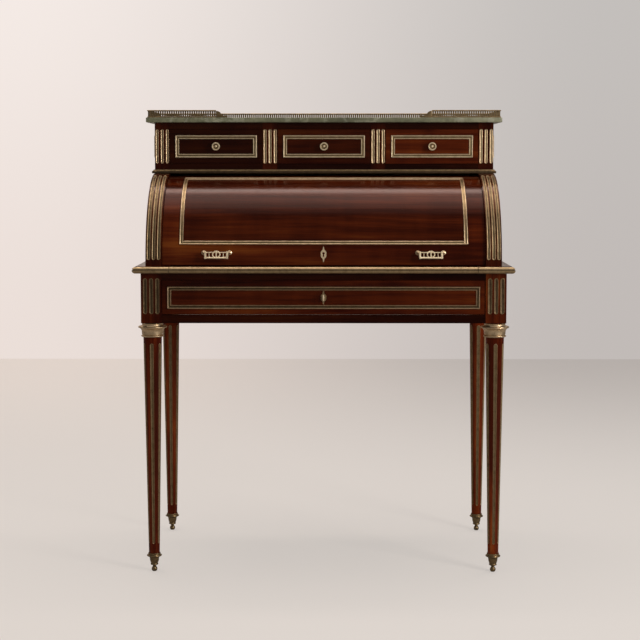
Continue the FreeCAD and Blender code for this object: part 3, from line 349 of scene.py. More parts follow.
def turned(points, segments):
    """A mesh turned about the upright line through the origin, from its outline in millimetres."""
    work = bmesh.new()
    corners = [work.verts.new((r * mm, 0, z * mm)) for r, z in points]
    edges = [work.edges.new(pair) for pair in zip(corners, corners[1:])]
    bmesh.ops.spin(
        work, geom=corners + edges, cent=(0, 0, 0), axis=(0, 0, 1), angle=math.tau, steps=segments,
        use_merge=True)
    return work


def as_pattern(work):
    """Welds a finished shape and turns its faces out, so that it can be copied."""
    bmesh.ops.remove_doubles(work, verts=work.verts, dist=0.004 * mm)
    bmesh.ops.recalc_face_normals(work, faces=work.faces)
    mesh = bpy.data.meshes.new("Pattern")
    work.to_mesh(mesh)
    work.free()
    return mesh


def put(work, pattern, matrix):
    """Adds a copy of the pattern in its place."""
    count = len(work.verts)
    work.from_mesh(pattern)
    work.verts.ensure_lookup_table()
    bmesh.ops.transform(work, matrix=matrix, verts=work.verts[count:])


def fitted(name, work, material, body, kind, *stands_for, sharp=32):
    """Makes the piece, shades its round faces smooth, and fixes it to its body. Of two finishes, the
    second goes on the faces marked for it."""
    bmesh.ops.recalc_face_normals(work, faces=work.faces)
    mesh = bpy.data.meshes.new(name)
    work.to_mesh(mesh)
    work.free()
    mesh.shade_smooth()
    mesh.set_sharp_from_angle(angle=math.radians(sharp))
    for finish in material if isinstance(material, tuple) else (material,):
        mesh.materials.append(finish)
    piece = bpy.data.objects.new(name, mesh)
    bpy.context.scene.collection.objects.link(piece)
    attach(piece, body)
    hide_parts(*stands_for)


leg_names = ["leg_front_left", "leg_front_right", "leg_back_left", "leg_back_right"]
leg_places = []
for name in leg_names:
    low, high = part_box(name)
    leg_places.append(Vector(((low.x + high.x) / 2, (low.y + high.y) / 2, 0)))

capital_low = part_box("leg_capitals")[0]
capital = [(18, 0), (25.4, 0)] + sagging((25.4, 0), (25.4, 5.0), -2.2, 8)
capital += [(24.2, 5.3), (24.2, 6.7), (26.0, 7.2), (26.2, 12.5)] + sagging((26.2, 12.5), (33.4, 22.2), 2.0, 8)
capital += [(34.3, 22.6)] + sagging((34.6, 23.0), (34.4, 25.2), -0.3, 4) + [(32.6, 26.2), (27.6, 26.6)]
capital += sagging((26.6, 27.0), (26.0, 33.0), 0.8, 5) + [(18, 33.0)]
pattern = as_pattern(turned(capital + [(18, 0)], 56))
capitals = bmesh.new()
for place in leg_places:
    put(capitals, pattern, Matrix.Translation(place + Vector((0, 0, capital_low.z))))
fitted("capitals", capitals, brass, "root", "brass", "leg_capitals")


# The sabots: cast and turned brass cups on the tips of the legs, with a rim, a swelling body, a
# narrow waist and a small ball foot.
# A darker toned brass for the sabots, the gallery, the rims of the post linings and the top of the ledge; in
# the other linings, the cylinder's frame and the upper knobs and frames it is painted shade in the hollows.
toned_brass_and_painted_shade = aged_brass("Toned brass and painted shade", (0.30, 0.215, 0.115), (0.14, 0.098, 0.052), 0.38)
ball_radius, ball_height = 7.1, 5.4


def arc(centre_z, wide, tall, angles):
    """Points of an oval about a centre on the upright line, at angles in degrees."""
    turns = [math.radians(angle) for angle in angles]
    return [(wide * math.cos(turn), centre_z + tall * math.sin(turn)) for turn in turns]


sabot = [(0, 0)] + arc(ball_height, ball_radius, ball_radius, range(-49, 54, 8))
sabot += [(4.0, 11.6), (4.0, 13.0), (5.4, 14.6), (9.0, 16.2)] + sagging((9.0, 16.2), (9.0, 19.2), -0.5, 4)
sabot += [(8.5, 19.8)] + sagging((8.7, 20.6), (11.4, 33.0), -0.7, 8)
sabot += sagging((11.4, 33.0), (17.8, 38.2), 1.0) + sagging((18.2, 38.4), (17.8, 40.4), -0.3, 4)
sabot += [(15.4, 41.0), (14.8, 42.2)] + sagging((14.8, 42.2), (14.8, 46.0), -0.3, 4) + [(0, 46.0)]
pattern = as_pattern(turned(sabot, 48))
sabots = bmesh.new()
for place in leg_places:
    put(sabots, pattern, Matrix.Translation(place))
fitted("sabots", sabots, toned_brass_and_painted_shade, "root", "brass", "leg_sabots")


# The legs and their posts, each of one piece of mahogany: a square post with three stopped
# channels on its outer faces, and a tapered round shaft with six, ready for their brass linings.
flute_depth, flute_ease = 2.9, 0.15


def end_opening(share):
    """How wide a flute is open at a share of the way through its round end."""
    return math.sqrt(1 - (1 - share) ** 2)


def fluted_face(work, width, low, high, places, flute, ends, matrix, rows=()):
    """A flat face that looks towards -Y. Each flute has its place, and all have round ends."""
    half, closed = flute / 2 + flute_ease, 0.3
    rounding = [(half * share, max(half * end_opening(share), closed), flute_depth if share else 0)
                for share in (0, 0.0001, 0.06, 0.22, 0.5, 1)]
    stops = [(low, closed, 0)] + [(ends[0] + far, reach, sunk) for far, reach, sunk in rounding]
    stops += [(row, half, flute_depth) for row in rows if ends[0] + half < row < ends[1] - half]
    stops += [(ends[1] - far, reach, sunk) for far, reach, sunk in reversed(rounding)]
    stops.append((high, closed, 0))
    count = len(work.verts)
    last = None
    for z, reach, sunk in stops:
        line = [(-width / 2, 0)]
        for place in places:
            line += [(place - reach, 0), (place - reach, sunk), (place + reach, sunk), (place + reach, 0)]
        line.append((width / 2, 0))
        row = [work.verts.new((x * mm, y * mm, z * mm)) for x, y in line]
        if last:
            for index in range(len(row) - 1):
                work.faces.new((last[index], last[index + 1], row[index + 1], row[index]))
        last = row
    work.verts.ensure_lookup_table()
    bmesh.ops.transform(work, matrix=matrix, verts=work.verts[count:])


leg_top_radius, leg_foot_radius, neck_radius = 22.5, 13.25, 18.0
tip_low, tip_radius, tip_spread = 24.0, 6.5, 0.26
shaft_low, shaft_high = 46.0, capital_low.z / mm
taper = (leg_top_radius - leg_foot_radius) / (shaft_high - shaft_low)
leg_flutes, leg_flute_foot, leg_flute_head = 6, 6.0, 9.0
flute_low, flute_high = 70.0, shaft_high - 15.0
widening = (leg_flute_head - leg_flute_foot) / (flute_high - flute_low)
post_half, post_low, post_foot, post_top = 25.0, 615.0, 637.0, 736.0
post_flute, post_flute_length, post_flute_pitch = 10.0, 87.0, 14.8
outer_faces = [(0, 270), (0, 90), (270,), (90,)]


def leg_radius(z):
    """The shaft tapers evenly. It is thinner inside the sabot and inside the capital."""
    if z < shaft_low:
        return tip_radius + tip_spread * (z - tip_low)
    return leg_foot_radius + taper * (z - shaft_low) if z < shaft_high else neck_radius


def fluted_leg(faces):
    """One leg about the origin. The faces are the turns, in degrees, of the fluted sides of its post."""
    work = bmesh.new()
    for turn in (0, 90, 180, 270):
        matrix = Matrix.Rotation(math.radians(turn), 4, "Z") @ Matrix.Translation((0, -post_half * mm, 0))
        places = (-post_flute_pitch, 0, post_flute_pitch) if turn in faces else ()
        fluted_face(work, 2 * post_half, post_low, post_top, places, post_flute,
                    (post_foot, post_foot + post_flute_length), matrix)
    stops = [(tip_low, 0, 0), (shaft_low - 0.5, 0, 0), (shaft_low, 0, 0)]
    rounding = [(share, end_opening(share), flute_depth if share else 0)
                for share in (0, 0.0001, 0.1, 0.35, 1)]
    stops += [(flute_low + 3.2 * share, opening, sunk) for share, opening, sunk in rounding]
    stops += [(flute_high - 4.6 * share, opening, sunk) for share, opening, sunk in reversed(rounding)]
    stops += [(shaft_high - 0.2, 0, 0), (shaft_high, 0, 0), (post_low, 0, 0)]
    last = None
    for z, opening, sunk in stops:
        radius = leg_radius(z)
        width = leg_flute_foot + widening * (z - flute_low)
        reach = max(width / 2 + flute_ease, 1) * max(opening, 0.08)
        edge = math.asin(reach / radius)
        land = math.pi / leg_flutes - edge
        row = []
        for sector in range(leg_flutes):
            middle = math.tau * sector / leg_flutes - math.pi / 2
            row += [(middle - edge - land * share, 0) for share in (1, 0.66, 0.33)]
            row += [(middle - edge, 0), (middle - edge, sunk), (middle + edge, sunk), (middle + edge, 0)]
            row += [(middle + edge + land * share, 0) for share in (0.33, 0.66)]
        ring = []
        for index, (angle, depth) in enumerate(row):
            middle = math.tau * (index // 9) / leg_flutes - math.pi / 2
            inward = Vector((-math.cos(middle), -math.sin(middle), 0)) * depth
            ring.append(work.verts.new(
                (Vector((radius * math.cos(angle), radius * math.sin(angle), z)) + inward) * mm))
        if last:
            for index in range(len(ring)):
                after = (index + 1) % len(ring)
                work.faces.new((last[index], last[after], ring[after], ring[index]))
        last = ring
    bmesh.ops.remove_doubles(work, verts=work.verts, dist=0.004 * mm)
    bmesh.ops.dissolve_degenerate(work, edges=work.edges, dist=0.003 * mm)
    bmesh.ops.holes_fill(work, edges=[edge for edge in work.edges if edge.is_boundary], sides=0)
    return work


upright_wood = mahogany("Mahogany upright", (0, 90, 0), (0, 0, 0), 0.85)
# The posts, under the table top, are painted darker than the shafts as shade.
post_wood_painted_shade = mahogany("Mahogany of the posts with painted shade", (0, 90, 0), (0.2, 0.6, 0.4), 0.5)
for place, name, faces in zip(leg_places, leg_names, outer_faces):
    leg = bmesh.new()
    put(leg, as_pattern(fluted_leg(faces)), Matrix.Translation(place))
    for face in leg.faces:
        if face.calc_center_median().z > post_low * mm - 0.001:
            face.material_index = 1
    fitted("turned_" + name, leg, (upright_wood, post_wood_painted_shade), "root", "mahogany", name, sharp=25)


# The linings of all the flutes: brass channels with rounded ends, let into the wood, with their
# rims standing a hair proud of it. The brass is bright on the rims, and the channel floors are
# painted darker as shade.
dulled_brass = aged_brass("Dulled brass", (0.44, 0.325, 0.185), (0.25, 0.18, 0.10), 0.44)
# Painted shade: a dark brass for the channel floors, the grooves and hollows of the mouldings, the underside
# of the ledge and the dishes of the small knobs.
painted_shade_brass = aged_brass("Brass painted with shade", (0.125, 0.085, 0.048), (0.058, 0.038, 0.022), 0.42)
flat_channel = ((0.3, -0.75), (0.45, -0.75), (0.75, -0.5))
hollow_channel = ((0.4, -0.7), (0.55, -0.5), (0.7, -0.31), (0.55, -0.1))
wide_rimmed_channel = ((0.7, -0.1), (0.4, -0.8), (0.75, -0.45))


def cut_through(work, at, way):
    """Divides the faces along the plane through a point that looks that way."""
    bmesh.ops.bisect_plane(
        work, geom=work.verts[:] + work.edges[:] + work.faces[:], plane_co=at, plane_no=way)


def flute_lining(length, low_width, high_width, channel, cuts=0):
    """A lining from its low end at the origin upwards, that looks towards -Y, in millimetres. The
    channel is the way inwards and the way in from the front at each step from the rim down."""
    work = bmesh.new()
    outline = []
    low_radius, high_radius = low_width / 2, high_width / 2
    for radius, centre, start in ((high_radius, length - high_radius, 0), (low_radius, low_radius, 180)):
        for step in range(13):
            angle = math.radians(start + 15 * step)
            outline.append(work.verts.new((
                radius * math.cos(angle) * mm, 2.6 * mm, (centre + radius * math.sin(angle)) * mm)))
    back = work.faces.new(outline)
    raised = bmesh.ops.extrude_face_region(work, geom=[back])["geom"]
    front = [item for item in raised if isinstance(item, bmesh.types.BMFace)]
    bmesh.ops.translate(
        work, verts=[item for item in raised if isinstance(item, bmesh.types.BMVert)], vec=(0, -2.8 * mm, 0))
    bmesh.ops.recalc_face_normals(work, faces=work.faces)
    for inward, depth in ((0.35, 0.15), (0.2, 0.0)) + channel:
        bmesh.ops.inset_region(work, faces=front, thickness=inward * mm, depth=depth * mm,
                               use_even_offset=True, use_boundary=True)
    for face in front:
        face.material_index = 1
    for cut in range(1, cuts):
        cut_through(work, (0, 0, length * mm * cut / cuts), (0, 0, 1))
    return work


sunk = math.sqrt(leg_radius(flute_low) ** 2 - (leg_flute_foot / 2) ** 2)
pattern = as_pattern(flute_lining(
    (flute_high - flute_low) / math.cos(math.atan(taper)), leg_flute_foot, leg_flute_head, flat_channel))
leaning = Matrix.Translation((0, -sunk * mm, flute_low * mm)) @ Matrix.Rotation(math.atan(taper), 4, "X")
leg_linings = bmesh.new()
for place in leg_places:
    for index in range(leg_flutes):
        turn = Matrix.Rotation(math.tau * index / leg_flutes, 4, "Z")
        put(leg_linings, pattern, Matrix.Translation(place) @ turn @ leaning)
fitted("leg_flute_linings", leg_linings, (dulled_brass, toned_brass_and_painted_shade), "root", "brass", "leg_flute_linings")

pattern = as_pattern(flute_lining(post_flute_length, post_flute, post_flute, wide_rimmed_channel))
post_linings = bmesh.new()
for place, faces in zip(leg_places, outer_faces):
    for turn in faces:
        turned_post = Matrix.Translation(place) @ Matrix.Rotation(math.radians(turn), 4, "Z")
        for across in (-post_flute_pitch, 0, post_flute_pitch):
            spot = Matrix.Translation((across * mm, -post_half * mm, post_foot * mm))
            put(post_linings, pattern, turned_post @ spot)
fitted("post_flute_linings", post_linings, (toned_brass_and_painted_shade, painted_shade_brass), "root", "brass", "post_flute_linings")


# The fixed part of the table top: mahogany boards beside and behind the writing slide.
dress(level_wood, "top_fixed_boards")


# The brass moulding round the table top and along the slide's front: drawn brass strip with two
# rounded ribs and a hollow between them, painted dark as shade, mitred at the corners and pinned
# to the edge.
def bar(work, section, length, matrix, start=-1, end=1, steps=1, dark=None):
    """A length of moulding along X. Its section is in Y, outwards, and Z. The ends are mitred by
    start and end times the outward place, and it can be divided along its length. The dark test
    finds the hollows in the section, which take the second finish, a painted shade."""
    count, faces = len(work.verts), len(work.faces)
    ends = [work.verts.new((0, u * mm, v * mm)) for u, v in section]
    face = work.faces.new(ends)
    first = ends
    for step in range(steps):
        grown = bmesh.ops.extrude_face_region(work, geom=[face])["geom"]
        face = next(item for item in grown if isinstance(item, bmesh.types.BMFace))
        last = [item for item in grown if isinstance(item, bmesh.types.BMVert)]
        bmesh.ops.translate(work, verts=last, vec=(length * mm / steps, 0, 0))
    work.faces.ensure_lookup_table()
    for face in work.faces[faces:]:
        centre = face.calc_center_median() / mm
        if dark and dark(centre.y, centre.z):
            face.material_index = 1
    for corner in first:
        corner.co.x += start * corner.co.y
    for corner in last:
        corner.co.x += end * corner.co.y
    work.verts.ensure_lookup_table()
    bmesh.ops.transform(work, matrix=matrix, verts=work.verts[count:])


edge_reach, edge_half = 7.9, 8.0
groove = [(7.9, 8.3), (5.9, 8.8), (5.9, 10.3), (7.5, 10.8)]
edge_section = [(-1, 0)] + arc(edge_half, edge_reach, edge_half, range(-88, -9, 9)) + groove
edge_section += arc(edge_half, edge_reach, edge_half, range(25, 89, 9)) + [(-1, 16)]


# The groove's faces are painted dark as shade.
def in_groove(u, v):
    return groove[0][1] - 0.05 < v < groove[-1][1] + 0.05


edge_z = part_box("top_edge_moulding")[0].z
top_low, top_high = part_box("top_fixed_boards")
slide_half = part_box("slide_edge_moulding")[1].x
slide_gap = 1.2
side_length, whole_length = (top_high.y - top_low.y) / mm, (top_high.x - top_low.x) / mm
front_length = (top_high.x - slide_half) / mm - slide_gap
facing_front = Matrix.Rotation(math.pi, 4, "Z")
facing_right, facing_left = Matrix.Rotation(-math.pi / 2, 4, "Z"), Matrix.Rotation(math.pi / 2, 4, "Z")
top_edge = bmesh.new()
for x, y, facing, length, start, end in (
        (top_high.x, top_low.y, facing_front, front_length, -1, 0),
        (-slide_half - slide_gap * mm, top_low.y, facing_front, front_length, 0, 1),
        (top_high.x, top_high.y, facing_right, side_length, -1, 1),
        (top_low.x, top_low.y, facing_left, side_length, -1, 1),
        (top_low.x, top_high.y, Matrix.Identity(4), whole_length, -1, 1)):
    bar(top_edge, edge_section, length, Matrix.Translation((x, y, edge_z)) @ facing, start, end, 1, in_groove)
fitted("table_edge", top_edge, (dulled_brass, painted_shade_brass), "root", "brass", "top_edge_moulding")
slide_edge = bmesh.new()
slide_section = [(u, max(v, 0.6)) for u, v in edge_section]
bar(slide_edge, slide_section, 2 * slide_half / mm,
    Matrix.Translation((slide_half, top_low.y, edge_z)) @ facing_front, 0, 0, 1, in_groove)
fitted("slide_edge", slide_edge, (dulled_brass, painted_shade_brass), "slide", "brass", "slide_edge_moulding")


# The writing slide: a mahogany board whose top is lined with dark leather, tooled in gold.
dress(level_wood, "slide_board")
leather, shader, place = new_finish("Tooled leather")
low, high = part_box("slide_leather")
centre, half = (low + high) / 2, (high - low) / 2


def distance_in(axis):
    """How far a place is inside the leather's edge, across one axis."""
    return half[axis] - abs(place.part(axis) - centre[axis])


from_edge = place.math("MINIMUM", distance_in(0), distance_in(1))
fine_line = place.math("COMPARE", from_edge, 0.012, 0.0007)
broad_line = place.math("COMPARE", from_edge, 0.021, 0.0016)
gold = place.math("MAXIMUM", fine_line, broad_line)
grain = place.noise(650.0, 3.0, 0.6)
worn = place.noise(9.0, 3.0).smooth(0.35, 0.7)
hide = worn.mixed((0.040, 0.014, 0.007), (0.075, 0.030, 0.014))
gold.mixed(hide, (0.55, 0.38, 0.14)).into(shader, "Base Color")
gold.into(shader, "Metallic")
(0.5 - gold * 0.15 + grain * 0.1).into(shader, "Roughness")
grain.bump(0.35, 0.0004).into(shader, "Normal")
dress(leather, "slide_leather")


# The two cheeks: thick boards with a quarter-round front, in which three brass-lined flutes
# climb. Their grain runs upright.
axis_z = 760.0 * mm
cheek_width, cheek_radius = 39.0, 215.0
cheek_flute, cheek_flute_pitch, cheek_flute_angles = 8.5, 12.3, (3.0, 76.0)


def wrapped(work, radius):
    """Bends a flat shape, whose Z is a length along the curve, round the cylinder's axis."""
    for corner in work.verts:
        reach, turn = radius * mm - corner.co.y, corner.co.z / (radius * mm)
        corner.co.y = -reach * math.cos(turn)
        corner.co.z = axis_z + reach * math.sin(turn)


dark_upright = mahogany("Dark mahogany upright", (0, 90, 0), (0.3, 0.4, 0.8), 0.38)
cheek = bmesh.new()
first_climb, last_climb, whole_climb = (
    math.radians(angle) * cheek_radius for angle in (*cheek_flute_angles, 90))
climbing_rows = [math.radians(step * 1.25) * cheek_radius for step in range(73)]
fluted_face(cheek, cheek_width, 0, whole_climb, (-cheek_flute_pitch, 0, cheek_flute_pitch), cheek_flute,
            (first_climb - cheek_flute / 2, last_climb + cheek_flute / 2), Matrix.Identity(4), climbing_rows)
for angle in range(79, 90):
    cut_through(cheek, (0, 0, math.radians(angle) * cheek_radius * mm), (0, 0, 1))
wrapped(cheek, cheek_radius)
bmesh.ops.remove_doubles(cheek, verts=cheek.verts, dist=0.004 * mm)
bmesh.ops.dissolve_degenerate(cheek, edges=cheek.edges, dist=0.003 * mm)
left_low, left_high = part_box("cheek_left")


def corners_where(test, order):
    """The cheek's corners that pass the test, in order."""
    return sorted((corner for corner in cheek.verts if test(corner.co)), key=order)


half = cheek_width / 2 * mm
sides = [corners_where(lambda co: abs(co.x - at) < 1e-6, lambda corner: corner.co.z) for at in (-half, half)]
foot = corners_where(lambda co: abs(co.z - axis_z) < 1e-6, lambda corner: corner.co.x)
head = corners_where(lambda co: abs(co.z - left_high.z) < 1e-6, lambda corner: corner.co.x)
below = [cheek.verts.new((x, left_low.y, left_low.z)) for x in (-half, half)]
behind = [cheek.verts.new((x, left_high.y, left_low.z)) for x in (-half, half)]
above = [cheek.verts.new((x, left_high.y, left_high.z)) for x in (-half, half)]
for index in range(2):
    cheek.faces.new(sides[index] + [above[index], behind[index], below[index]])
cheek.faces.new(foot + [below[1], below[0]])
cheek.faces.new((below[0], below[1], behind[1], behind[0]))
cheek.faces.new((behind[0], behind[1], above[1], above[0]))
cheek.faces.new(head + [above[1], above[0]])
pattern = as_pattern(cheek)
cheek_x = (left_low.x + left_high.x) / 2
for side, name in ((-1, "left"), (1, "right")):
    board = bmesh.new()
    put(board, pattern, Matrix.Translation((side * abs(cheek_x), 0, 0)))
    fitted("fluted_cheek_" + name, board, dark_upright, "root", "mahogany", "cheek_" + name)

lining = flute_lining(last_climb - first_climb + cheek_flute, cheek_flute, cheek_flute, hollow_channel, 48)
bmesh.ops.translate(lining, verts=lining.verts, vec=(0, 0, (first_climb - cheek_flute / 2) * mm))
wrapped(lining, cheek_radius)
pattern = as_pattern(lining)
cheek_linings = bmesh.new()
for side in (-1, 1):
    for across in (-cheek_flute_pitch, 0, cheek_flute_pitch):
        put(cheek_linings, pattern, Matrix.Translation((side * abs(cheek_x) + across * mm, 0, 0)))
fitted("cheek_flute_linings", cheek_linings, (dulled_brass, painted_shade_brass), "root", "brass",
       "cheek_flute_linings")


# The nest of pigeon-holes behind the cylinder, with its two small drawers: thin mahogany boards
# housed into each other.
dress(level_wood, "inner_nest", "inner_drawer_left", "inner_drawer_right")


# The case above: mahogany boards dovetailed at the corners, and three drawers whose fronts are cut
# from different parts of the log, so that they grow paler from left to right.
dress(case_wood, "upper_floor", "upper_drawer_bed", "upper_top_board", "upper_drawer_left_front")
for side, shift, light in (("middle", (0.3, 0.1, 0.9), 0.27), ("right", (0.2, 0.8, 0.6), 0.58)):
    front_wood = mahogany("Mahogany of the %s drawer" % side, (0, 0, 0), shift, light)
    dress(front_wood, "upper_drawer_%s_front" % side)
dress(mahogany("Mahogany on the sides", (0, 0, 90), (0.9, 0.3, 0.1), 0.5), "upper_sides")


# The four pilasters between and beside the drawers: upright mahogany, each with three short flutes
# that are lined with brass like those below.
dress(dark_upright, "pilasters")
pilaster_half, pilaster_foot, drawer_gap = 18.75 * mm, 15.0 * mm, 1.0 * mm
pilaster_flute, pilaster_flute_length, pilaster_flute_pitch = 7.5, 87.0, 13.0
pattern = as_pattern(flute_lining(pilaster_flute_length, pilaster_flute, pilaster_flute, hollow_channel))
pilaster_linings = bmesh.new()
low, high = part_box("pilasters")
end_x = high.x - pilaster_half
middle_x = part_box("upper_drawer_middle_front")[1].x + drawer_gap + pilaster_half
for at in (-end_x, -middle_x, middle_x, end_x):
    for across in (-pilaster_flute_pitch, 0, pilaster_flute_pitch):
        put(pilaster_linings, pattern, Matrix.Translation((at + across * mm, low.y, low.z + pilaster_foot)))
fitted("pilaster_flute_linings", pilaster_linings, (brass, toned_brass_and_painted_shade), "root", "brass",
       "pilaster_flute_linings")


# The ledge moulding under the case: a drawn brass strip, hollow below and rounded above, pinned to
# the front and sides of the case floor.
ledge_section = [(-0.5, 0), (6.6, 0)] + sagging((6.6, 0), (6.8, 5.4), -0.4, 4)
ledge_section += [(6.2, 6.0)] + sagging((6.2, 6.0), (3.0, 9.8), 0.7, 5) + [(-0.5, 10)]


# Below this height the ledge lies in shade, which is painted dark.
def in_shade(u, v):
    return v < 6.1


low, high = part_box("upper_floor")
ledge = bmesh.new()
for x, y, facing, length, start, end in (
        (high.x, low.y, facing_front, (high.x - low.x) / mm, -1, 1),
        (high.x, high.y, facing_right, (high.y - low.y) / mm, 0, 1),
        (low.x, low.y, facing_left, (high.y - low.y) / mm, -1, 0)):
    bar(ledge, ledge_section, length, Matrix.Translation((x, y, low.z)) @ facing, start, end, 1, in_shade)
fitted("ledge_moulding", ledge, (toned_brass_and_painted_shade, painted_shade_brass), "root", "brass", "ledge_moulding")


# The marble top: a slab of grey-green marble with soft white and dark veins, its edges eased. It
# lies loose on the case, and its polish has gone dull.
def eased_block(work, low, high, ease=0.5, segments=3):
    """A block between two corners in millimetres, with its edges eased."""
    made = bmesh.ops.create_cube(work, size=1)["verts"]
    low, high = Vector(low) * mm, Vector(high) * mm
    bmesh.ops.scale(work, vec=high - low, verts=made)
    bmesh.ops.translate(work, vec=(low + high) / 2, verts=made)
    edges = list(dict.fromkeys(edge for corner in made for edge in corner.link_edges))
    bmesh.ops.bevel(
        work, geom=edges, offset=ease * mm, segments=segments, profile=0.5, affect="EDGES", material=-1)


marble, shader, place = new_finish("Grey-green marble")
drift = place.noise(6.0, 4.0, 0.6)
white = 1 - abs(place.noise(9.0, 5.0, 0.6) - 0.5).smooth(0.0, 0.035)
spots = place.noise(60.0, 4.0, 0.65)
stone = (drift * 0.5 + spots * 0.5).ramp(
    (0.36, (0.070, 0.073, 0.042)), (0.50, (0.118, 0.121, 0.071)), (0.64, (0.185, 0.188, 0.118)))
(white * 0.22).mixed(stone, (0.45, 0.46, 0.38)).into(shader, "Base Color")
(0.28 + spots * 0.15).into(shader, "Roughness")
low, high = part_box("marble_top")
slab_drop = 2.0 * mm
high.z -= slab_drop
slab = bmesh.new()
eased_block(slab, low / mm, high / mm, 1.4, 4)
fitted("marble_top", slab, marble, "root", "marble", "marble_top")


# The gallery: a pierced brass strip between a base and a rounded rail, mitred at the corners. It
# runs along the back and sides and turns in at the front, where it falls in a scroll.
gallery_low, gallery_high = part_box("gallery")
gallery_low.z -= slab_drop
gallery_height = (gallery_high.z - gallery_low.z) / mm
base_half, base_height, rail_half, rail_height = 2.5, 3.8, 1.5, 3.4
bar_pitch, bar_neck, bar_thickness = 5.6, 2.0, 1.6


def cut_out(outline, thickness):
    """A plate of the given outline in X and Z, in millimetres, half its thickness to each side."""
    work = bmesh.new()
    face = work.faces.new([work.verts.new((x * mm, -thickness / 2 * mm, z * mm)) for x, z in outline])
    grown = bmesh.ops.extrude_face_region(work, geom=[face])["geom"]
    far_side = [item for item in grown if isinstance(item, bmesh.types.BMVert)]
    bmesh.ops.translate(work, verts=far_side, vec=(0, thickness * mm, 0))
    return work


def pierced_run(work, length, matrix, start, end):
    """One length of the gallery along X, with its mitres."""
    base = [(-base_half, 0), (base_half, 0), (base_half, 1.6), (1.6, 2.4), (1.6, 3.4),
            (-1.6, 3.4), (-1.6, 2.4), (-base_half, 1.6)]
    low, high = base_height, gallery_height - rail_height
    top = gallery_height
    rail = [(rail_half, high)] + sagging((rail_half, high), (rail_half, top), -1.0, 5)
    rail += [(-rail_half, top)] + sagging((-rail_half, top), (-rail_half, high), -1.0, 5)
    for section in (base, rail):
        bar(work, section, length, matrix, start, end)
    count = int(length / bar_pitch)
    step = length / count
    neck, flare = bar_neck, step / 2
    outline = [(-flare, low), (flare, low), (flare * 0.62, low + 0.5), (neck, low + 1.6), (neck, high - 1.6),
               (flare * 0.62, high - 0.5), (flare, high), (-flare, high), (-flare * 0.62, high - 0.5),
               (-neck, high - 1.6), (-neck, low + 1.6), (-flare * 0.62, low + 0.5)]
    pattern = as_pattern(cut_out(outline, bar_thickness))
    for index in range(count):
        put(work, pattern, matrix @ Matrix.Translation(((index + 0.5) * step * mm, 0, 0)))


gallery = bmesh.new()
x = gallery_high.x - base_half * mm
front_y, back_y = gallery_low.y + base_half * mm, gallery_high.y - base_half * mm
straight = 172.0
floor = Matrix.Translation((0, 0, gallery_low.z))
facing_back = Matrix.Diagonal((1, -1, 1, 1))
pierced_run(gallery, straight, floor @ Matrix.Translation((-x, front_y, 0)) @ facing_back, -1, 0)
pierced_run(gallery, straight, floor @ Matrix.Translation((x, front_y, 0)) @ facing_front, -1, 0)
pierced_run(gallery, 2 * x / mm, floor @ Matrix.Translation((-x, back_y, 0)), -1, 1)
for side in (-1, 1):
    upright = Matrix.Translation((side * x, front_y, 0)) @ Matrix(
        ((0, side, 0, 0), (1, 0, 0, 0), (0, 0, 1, 0), (0, 0, 0, 1)))
    pierced_run(gallery, (back_y - front_y) / mm, floor @ upright, -1, 1)
scroll = [(0, 0), (26, 0)] + sagging((26, 0), (30, 3.2), -1.3, 4) + sagging((30, 3.2), (25.4, 6.2), -1.6, 5)
scroll += [(24.0, 4.4)] + sagging((24.0, 4.4), (12.0, 11.4), 1.6, 8) + sagging((12.0, 11.4), (0, 17), -1.8, 8)
falling_end = cut_out(scroll, 2 * base_half)
hard_edges = [edge for edge in falling_end.edges if edge.calc_face_angle(0) > 1.2]
bmesh.ops.bevel(
    falling_end, geom=hard_edges, offset=0.5 * mm, segments=2, profile=0.5, affect="EDGES", material=-1)
pattern = as_pattern(falling_end)
put(gallery, pattern, floor @ Matrix.Translation((-x + straight * mm, front_y, 0)))
put(gallery, pattern, floor @ Matrix.Translation((x - straight * mm, front_y, 0)) @ facing_front)
fitted("pierced_gallery", gallery, toned_brass_and_painted_shade, "root", "brass", "gallery")


# The cylinder: a quarter of a tube built up of mahogany staves and veneered with one sheet of
# figured mahogany, its grain running level. It rolls back into the case.
shell = bmesh.new()
low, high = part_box("cylinder_shell")
shell_radius, shell_inner = 208.0, 192.0
low_angle, high_angle = -1.6, 92.0
panel_half, border_height = 0.345, 46.0 * mm
section = shell.faces.new([
    shell.verts.new((side * high.x, -radius * mm, axis_z))
    for side, radius in ((-1, shell_radius), (1, shell_radius), (1, shell_inner), (-1, shell_inner))])
hub = Vector((0, 0, axis_z))
bmesh.ops.rotate(shell, verts=shell.verts, cent=hub, matrix=Matrix.Rotation(math.radians(-low_angle), 3, "X"))
bmesh.ops.spin(
    shell, geom=[section], cent=hub, axis=(-1, 0, 0), angle=math.radians(high_angle - low_angle), steps=96)
for at in (-1, 1):
    cut_through(shell, (at * panel_half, 0, 0), (1, 0, 0))
for face in shell.faces:
    centre = face.calc_center_median()
    if abs(centre.x) > panel_half or centre.z < axis_z + border_height:
        face.material_index = 1
veneer = mahogany("Mahogany veneer", (0, 0, 0), (0.1, 0.9, 0.35), 0.35)
# The border is a paler veneer, and part of its paleness is painted light: the warm glow along the cylinder's
# foot and sides.
border_veneer_and_painted_glow = mahogany("Mahogany border veneer and painted glow", (0, 0, 0), (0.6, 0.2, 0.15), 0.50)
fitted("veneered_cylinder", shell, (veneer, border_veneer_and_painted_glow), "cylinder", "mahogany", "cylinder_shell")


# The frames on the long drawer, the cylinder and the sides: brass mouldings with a bold outer rib,
# a hollow and a fine inner rib, mitred at the corners and pinned.
frame_section = [(0, 0), (0, 1.6)] + sagging((0, 1.6), (3.4, 1.6), 2.2, 8) + [(3.6, 0.8)]
frame_section += sagging((3.6, 0.8), (7.4, 0.8), -0.4, 4) + sagging((7.4, 0.8), (9.5, 0.6), 1.1, 5)
frame_section += [(9.5, 0)]


